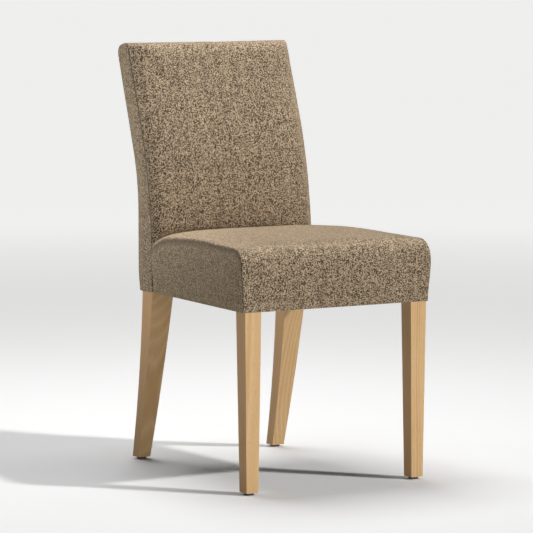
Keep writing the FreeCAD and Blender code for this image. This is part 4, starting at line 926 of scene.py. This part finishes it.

# %% [markdown]
# # Woods
# The front legs are cut straight along the grain, so the group's z axis is theirs. The rear legs
# sweep back and their grain sweeps with them, as in a plank sawn to follow it, so y is moved by
# a square law below the seat. The faces that look sideways, along x, get painted shade: their
# colour is pulled towards the dark wood tone. The rails and blocks inside are plainer, rougher
# wood with the same group turned along x, y or z.

# %% Woods
def wood_look(pale, dark, pore, rings, figure, turn=(0.0, 0.0, 0.0), sweep=0.0):
    """sweep is how far, in metres, a leg's foot has moved along y from where it leaves the seat."""
    def look(nodes):
        x, y, z = nodes.split(nodes.object_position())
        below = nodes.range(z, 0.0, HEM * MM, 1.0, 0.0)
        bent = nodes.math("MULTIPLY", nodes.math("MULTIPLY", below, below), sweep)
        straight = nodes.join(x, nodes.math("SUBTRACT", y, bent), z)
        turned = nodes.add("ShaderNodeMapping")
        turned.inputs["Rotation"].default_value = turn
        nodes.feed(turned.inputs["Vector"], straight)
        grain = place_group(nodes, oak, Position=turned.outputs[0], Pale_Wood=pale,
                            Dark_Wood=dark, Pore=pore, Ring_Width=rings, Figure=figure)
        # Painted shade: faces that look along x or against it get a darker colour, pulled towards the
        # dark wood tone.
        facing = nodes.add("ShaderNodeNewGeometry").outputs["Normal"]
        sideways = nodes.math("ABSOLUTE", nodes.split(facing)[0])
        painted_side_shade = nodes.range(sideways, 0.5, 0.9, 0.0, 0.6)
        return {"colour": nodes.mix(painted_side_shade, grain.outputs["Colour"], dark),
                "height": grain.outputs["Height"], "roughness": grain.outputs["Roughness"],
                "strength": 0.5}
    return look


leg_tones = ((0.88, 0.60, 0.315, 1), (0.62, 0.35, 0.14, 1), (0.30, 0.16, 0.06, 1), 0.0045, 0.4)
rough_tones = ((0.62, 0.47, 0.31, 1), (0.45, 0.31, 0.18, 1), (0.3, 0.2, 0.1, 1), 0.006, 0.5)
leg_wood = new_material("leg_oak", wood_look(*leg_tones), depth=0.00015)
swept_wood = new_material("swept_leg_oak", wood_look(*leg_tones, sweep=0.08), depth=0.00015)
for wood in (leg_wood, swept_wood):
    shader_of(wood).inputs["Specular IOR Level"].default_value = 0.3
rough_woods = {way: new_material(f"frame_wood_{way}", wood_look(*rough_tones, turn))
               for way, turn in (("x", (0, math.pi / 2, 0)), ("y", (math.pi / 2, 0, 0)),
                                 ("z", (0, 0, 0)))}

# %% [markdown]
# # Webbing
# The seat rests on black elastic webbing. It is woven like the cover, only coarser and nearly of
# one tone, so it places the same group with other yarns.

# %% Webbing
def strap_look(nodes):
    cloth = place_group(nodes, weave, Flat_Position=nodes.object_position(),
                        Thread_Pitch=0.0024, Dark_Yarn=(0.01, 0.01, 0.011, 1),
                        Middle_Yarn=(0.03, 0.03, 0.032, 1), Pale_Yarn=(0.09, 0.09, 0.09, 1),
                        Fleck=0.8)
    return {"colour": cloth.outputs["Colour"], "height": cloth.outputs["Height"]}


strap_cloth = new_material("webbing_weave", strap_look, depth=0.0006, roughness=0.55)

# %% [markdown]
# # Black lining cloth
# The cloth under the seat isn't woven. Its fibres are laid at random and pressed together at
# small points. Fine noise stands for the fibres and a cell pattern for the points, which is
# enough for a black cloth that is only seen from below.

# %% Black lining cloth
def lining_look(nodes):
    where = nodes.object_position()
    fibres = nodes.noise(where, 900.0, 3.0, 0.7)
    cells = nodes.add("ShaderNodeTexVoronoi")
    cells.inputs["Scale"].default_value = 420.0
    nodes.feed(cells.inputs["Vector"], where)
    dots = nodes.range(cells.outputs["Distance"], 0.1, 0.35)
    colour = nodes.mix(nodes.math("MULTIPLY", fibres, dots), (0.012, 0.012, 0.012, 1),
                       (0.055, 0.054, 0.052, 1))
    return {"colour": colour, "height": dots, "strength": 0.5}


black_cloth = new_material("dust_cloth", lining_look, depth=0.0002, roughness=0.85)

# %% [markdown]
# # Steel and nylon
# Bolts and staples are zinc plated steel, which is a bare metal with a faint patchy gloss. The
# glides under the feet are dark moulded nylon with a dull, slightly speckled skin. Both are small
# and far from the eye, so one noise for colour, gloss and height does for each.

# %% Steel and nylon
def steel_look(nodes):
    patches = nodes.noise(nodes.object_position(), 700.0, 2.0)
    return {"colour": nodes.mix(patches, (0.5, 0.49, 0.44, 1), (0.68, 0.66, 0.58, 1)),
            "roughness": nodes.range(patches, 0.3, 0.7, 0.25, 0.45), "height": patches,
            "strength": 0.1}


def nylon_look(nodes):
    specks = nodes.noise(nodes.object_position(), 1600.0, 2.0, 0.7)
    return {"colour": nodes.mix(specks, (0.06, 0.062, 0.07, 1), (0.15, 0.15, 0.165, 1)),
            "roughness": nodes.range(specks, 0.3, 0.7, 0.38, 0.6), "height": specks,
            "strength": 0.2}


steel = new_material("zinc_steel", steel_look, depth=0.00005)
shader_of(steel).inputs["Metallic"].default_value = 1.0
nylon = new_material("glide_nylon", nylon_look, depth=0.00008)

# %% [markdown]
# # Dressing the frame
# The frame's own pieces keep their shape and only get a material. A rail's grain runs along the
# rail, so each one takes the rough wood that is turned its way.

# %% Dress the frame's own pieces
WOOD_WAYS = {"front_rail": "x", "rear_rail": "x", "back_lower_rail": "x", "back_top_rail": "x",
             "side_rail_left": "y", "side_rail_right": "y"}


def finish_for(name):
    if name in WOOD_WAYS:
        return rough_woods[WOOD_WAYS[name]]
    if name == "corner_block_bolts":
        return steel
    if "webbing" in name:
        return strap_cloth
    if name in ("seat_deck_cloth", "dust_cover"):
        return black_cloth
    for start, finish in (("front_leg", leg_wood), ("rear_post", swept_wood),
                          ("corner_block_", rough_woods["z"]), ("foot_glide", nylon)):
        if name.startswith(start):
            return finish
    return cover_cloth


for name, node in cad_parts.items():
    for slot in node.material_slots:
        slot.material = finish_for(name)
print("dressed", len(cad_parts), "frame pieces")

# %% [markdown]
# # Under the seat
# A black cloth closes the frame from below. It is cut to the frame with notches for the legs,
# stapled every few centimetres, and hangs down by two or three millimetres in the middle. It is
# a thin sheet, so a plain grid that gets narrower at the notches is enough, and the slack is a
# function of the distance to the edge. The staples are small solids of flat wire, because a
# picture of them would vanish in a low view.

# %% Dust cover
DUST_INSET = 10.0
FRONT_NOTCH, FRONT_NOTCH_HALF = -252.4, 182.1
REAR_NOTCH, REAR_NOTCH_HALF = 154.5, 142.3
SHEET_HEIGHT = 382.75
SLACK, RIPPLE = 2.6, 0.35
dust_low, dust_high = [np.array(corner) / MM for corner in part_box("dust_cover")]
print("dust cover box in mm:", dust_low.round(1), dust_high.round(1))


def dust_half(y):
    """Half width of the dust cover at y, with its notches beside the legs."""
    if y < FRONT_NOTCH:
        return FRONT_NOTCH_HALF
    if y > REAR_NOTCH:
        return REAR_NOTCH_HALF
    return frame_half(y) - DUST_INSET


# Two rows close together make the step of each notch.
dust_rows = [-282.4, -267.4, FRONT_NOTCH - 0.1, FRONT_NOTCH + 0.1]
dust_rows += list(np.linspace(-240, 142, 34))
dust_rows += [REAR_NOTCH - 0.1, REAR_NOTCH + 0.1, 173.0, 192.2]
sheet_points, sheet_faces = [], []
across = np.linspace(-1, 1, 41)
for y in dust_rows:
    for share in across:
        x = share * dust_half(y)
        inner = min(dust_half(y) - abs(x), y - dust_rows[0], dust_rows[-1] - y)
        slack = SLACK * (1 - math.exp(-max(inner, 0) / 70.0))
        ripple = RIPPLE * noise.noise(Vector((x * 0.02, y * 0.02, 4.0)))
        sheet_points.append(Vector((x, y, SHEET_HEIGHT - slack + ripple * min(1, inner / 20.0))) * MM)
count = len(across)
for row in range(len(dust_rows) - 1):
    for column in range(count - 1):
        here = row * count + column
        sheet_faces.append((here, here + 1, here + count + 1, here + count))
mesh = bpy.data.meshes.new("dust_sheet")
mesh.from_pydata(sheet_points, [], sheet_faces)
mesh.shade_smooth()
mesh.materials.append(black_cloth)
dust_sheet = add_object("dust_sheet", mesh)

# %% Staples
STAPLE_OUTLINE = [(-5.5, 0.5), (-5.5, -0.45), (-5.1, -0.75), (5.1, -0.75), (5.5, -0.45),
                  (5.5, 0.5), (4.7, 0.5), (4.7, 0.05), (-4.7, 0.05), (-4.7, 0.5)]
STAPLE_HALF_WIDTH, STAPLE_HEIGHT = 0.55, 382.3
STAPLE_INSET = 6.0


def staple(build, x, y, angle):
    """A staple's crown lying on the cloth: a flat wire 11 mm long with bent ends."""
    way = Vector((math.cos(angle), math.sin(angle), 0))
    side = Vector((-way.y, way.x, 0)) * STAPLE_HALF_WIDTH
    middle = Vector((x, y, STAPLE_HEIGHT))
    left, right = [[build.verts.new((middle + way * along + side * shift + Vector((0, 0, up))) * MM)
                    for along, up in STAPLE_OUTLINE] for shift in (-1, 1)]
    count = len(STAPLE_OUTLINE)
    for index in range(count):
        after = (index + 1) % count
        build.faces.new((left[index], left[after], right[after], right[index]))
    for row in (left, right[::-1]):
        build.faces.new((row[0], row[1], row[2], row[-2], row[-1]))
        build.faces.new((row[2], row[3], row[-3], row[-2]))
        build.faces.new((row[3], row[4], row[5], row[-4], row[-3]))


staple_places = [(side * (dust_half(y) - STAPLE_INSET), y, math.radians(90 + 4 * side))
                 for y in np.linspace(-236, 138, 11) for side in (-1, 1)]
staple_places += [(x, -276.0, 0.0) for x in np.linspace(-165, 165, 9)]
staple_places += [(x, 186.0, 0.0) for x in np.linspace(-125, 125, 7)]
build = bmesh.new()
for place in staple_places:
    staple(build, *place)
bmesh.ops.recalc_face_normals(build, faces=build.faces)
mesh = bpy.data.meshes.new("dust_staples")
build.to_mesh(mesh)
build.free()
mesh.materials.append(steel)
dust_staples = add_object("dust_staples", mesh)
print("staples:", len(staple_places))

# %% [markdown]
# # Joining the frame
# Each new piece rides on the frame's body, and the frame's pieces that it stands for are hidden.
# The upholstery stands for the covers, the wadding and the foam below it.

# %% Ride and replace
for piece, replaced, slot_name in (
    (seat_cover, ("seat_cover_top", "seat_cover_side_left", "seat_cover_side_right",
                  "seat_wadding", "seat_foam"), "cover_fabric"),
    (back_cover, ("back_cover_front", "back_cover_side_left", "back_cover_side_right",
                  "back_cover_rear", "back_wadding", "back_foam"), "cover_fabric"),
    (dust_sheet, ("dust_cover",), "black_cloth"),
    (dust_staples, (), "bolt_steel"),
):
    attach(piece, "root")
    if replaced:
        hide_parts(*replaced)
print("declared:", [piece.name for piece in (seat_cover, back_cover, dust_sheet, dust_staples)])

# %% [markdown]
# # Camera
# The photograph was taken from far away with a long lens, which keeps the chair's edges nearly
# parallel. The camera's place and lens were worked out from the leg edges and the feet.

# %% Camera
eye, aim = Vector((-3.518, -5.998, 1.149)), Vector((-0.0385, -0.0653, 0.4506))
camera_data = bpy.data.cameras.new("camera")
camera_data.sensor_width = 36.0
camera_data.lens = 217.3
camera_data.clip_end = 400.0
camera = add_object("camera", camera_data)
camera.location = eye
camera.rotation_euler = (aim - eye).to_track_quat("-Z", "Y").to_euler()
bpy.context.scene.camera = camera
print("camera distance in metres:", round((aim - eye).length, 3))

# %% [markdown]
# # Lights
# The photograph has one main light from the front right at about 45 degrees, which draws the
# long shadows to the back left. A sun with a wide angle gives that direction everywhere and soft
# edges. A large overhead box lights the seat, a narrow one from the rear left opens up the side
# strip of the back, and a low one far in front brightens the legs.

# %% Lights
sun_data = bpy.data.lights.new("key", "SUN")
sun_data.energy = 1.95
sun_data.angle = math.radians(4.0)
sun_data.color = (1.0, 0.985, 0.96)
sun = add_object("key", sun_data)
sun.rotation_euler = Vector((0.65, -0.76, 1.0)).to_track_quat("Z", "Y").to_euler()


def soft_box(name, place, target, width, power, spread=180.0):
    data = bpy.data.lights.new(name, "AREA")
    data.shape = "SQUARE"
    data.size = width
    data.energy = power
    data.spread = math.radians(spread)
    box = add_object(name, data)
    box.location = place
    box.rotation_euler = (Vector(place) - Vector(target)).to_track_quat("Z", "Y").to_euler()
    box.visible_camera = False


soft_box("overhead", (0.0, 0.6, 2.6), (0.0, -0.05, 0.5), 1.4, 52.0)
soft_box("rear_fill", (-0.85, 0.78, 0.70), (-0.2, 0.24, 0.66), 0.4, 0.85, 70.0)
soft_box("front_fill", (-0.4, -4.2, 0.5), (0.0, 0.0, 0.35), 1.3, 38.0)
world = bpy.data.worlds.new("studio")
world.use_nodes = True
bpy.context.scene.world = world
background = world.node_tree.nodes["Background"]
background.inputs["Color"].default_value = (1.0, 1.0, 1.0, 1)
background.inputs["Strength"].default_value = 0.06

# %% [markdown]
# # Floor
# The studio floor runs to the horizon. For the camera and for mirrors it is pale and glows a
# little more with distance, as paper under its own lamps does. For light that bounces it is
# darker, so that it keeps the shadow without lighting the chair from below.

# %% Floor
FLOOR_REACH = 150
floor_material = bpy.data.materials.new("studio_floor")
floor_material.use_nodes = True
tree = floor_material.node_tree
tree.nodes.remove(tree.nodes["Principled BSDF"])
nodes = Nodes(tree)
path = nodes.add("ShaderNodeLightPath")
mirrored = nodes.math("MAXIMUM", path.outputs["Is Glossy Ray"],
                      path.outputs["Is Transmission Ray"])
seen = nodes.math("MAXIMUM", path.outputs["Is Camera Ray"], mirrored)
bounce = nodes.add("ShaderNodeBsdfDiffuse")
bounce.inputs["Color"].default_value = (0.45, 0.45, 0.445, 1)
shown = nodes.add("ShaderNodeBsdfDiffuse")
shown.inputs["Color"].default_value = (0.83, 0.833, 0.84, 1)
glow = nodes.add("ShaderNodeEmission")
from_chair = nodes.length(nodes.object_position())
nodes.feed(glow.inputs["Strength"], nodes.range(from_chair, 0.6, 6.0, 0.0, 0.45))
both = nodes.add("ShaderNodeAddShader")
nodes.feed(both.inputs[0], shown.outputs[0])
nodes.feed(both.inputs[1], glow.outputs[0])
pick = nodes.add("ShaderNodeMixShader")
for socket, source in zip(pick.inputs, (seen, bounce.outputs[0], both.outputs[0])):
    nodes.feed(socket, source)
nodes.feed(tree.nodes["Material Output"].inputs["Surface"], pick.outputs[0])
floor_corners = [(x * FLOOR_REACH, y * FLOOR_REACH, 0)
                 for x, y in ((-1, -1), (1, -1), (1, 1), (-1, 1))]
floor_mesh = bpy.data.meshes.new("studio_floor")
floor_mesh.from_pydata(floor_corners, [], [(0, 1, 2, 3)])
floor_mesh.materials.append(floor_material)
floor = add_object("studio_floor", floor_mesh)
bpy.context.scene.view_settings.view_transform = "Standard"
print("floor of", 2 * FLOOR_REACH, "by", 2 * FLOOR_REACH, "metres")

# %% [markdown]
# # The size
# The cloth may stand a little proud of the frame's box.
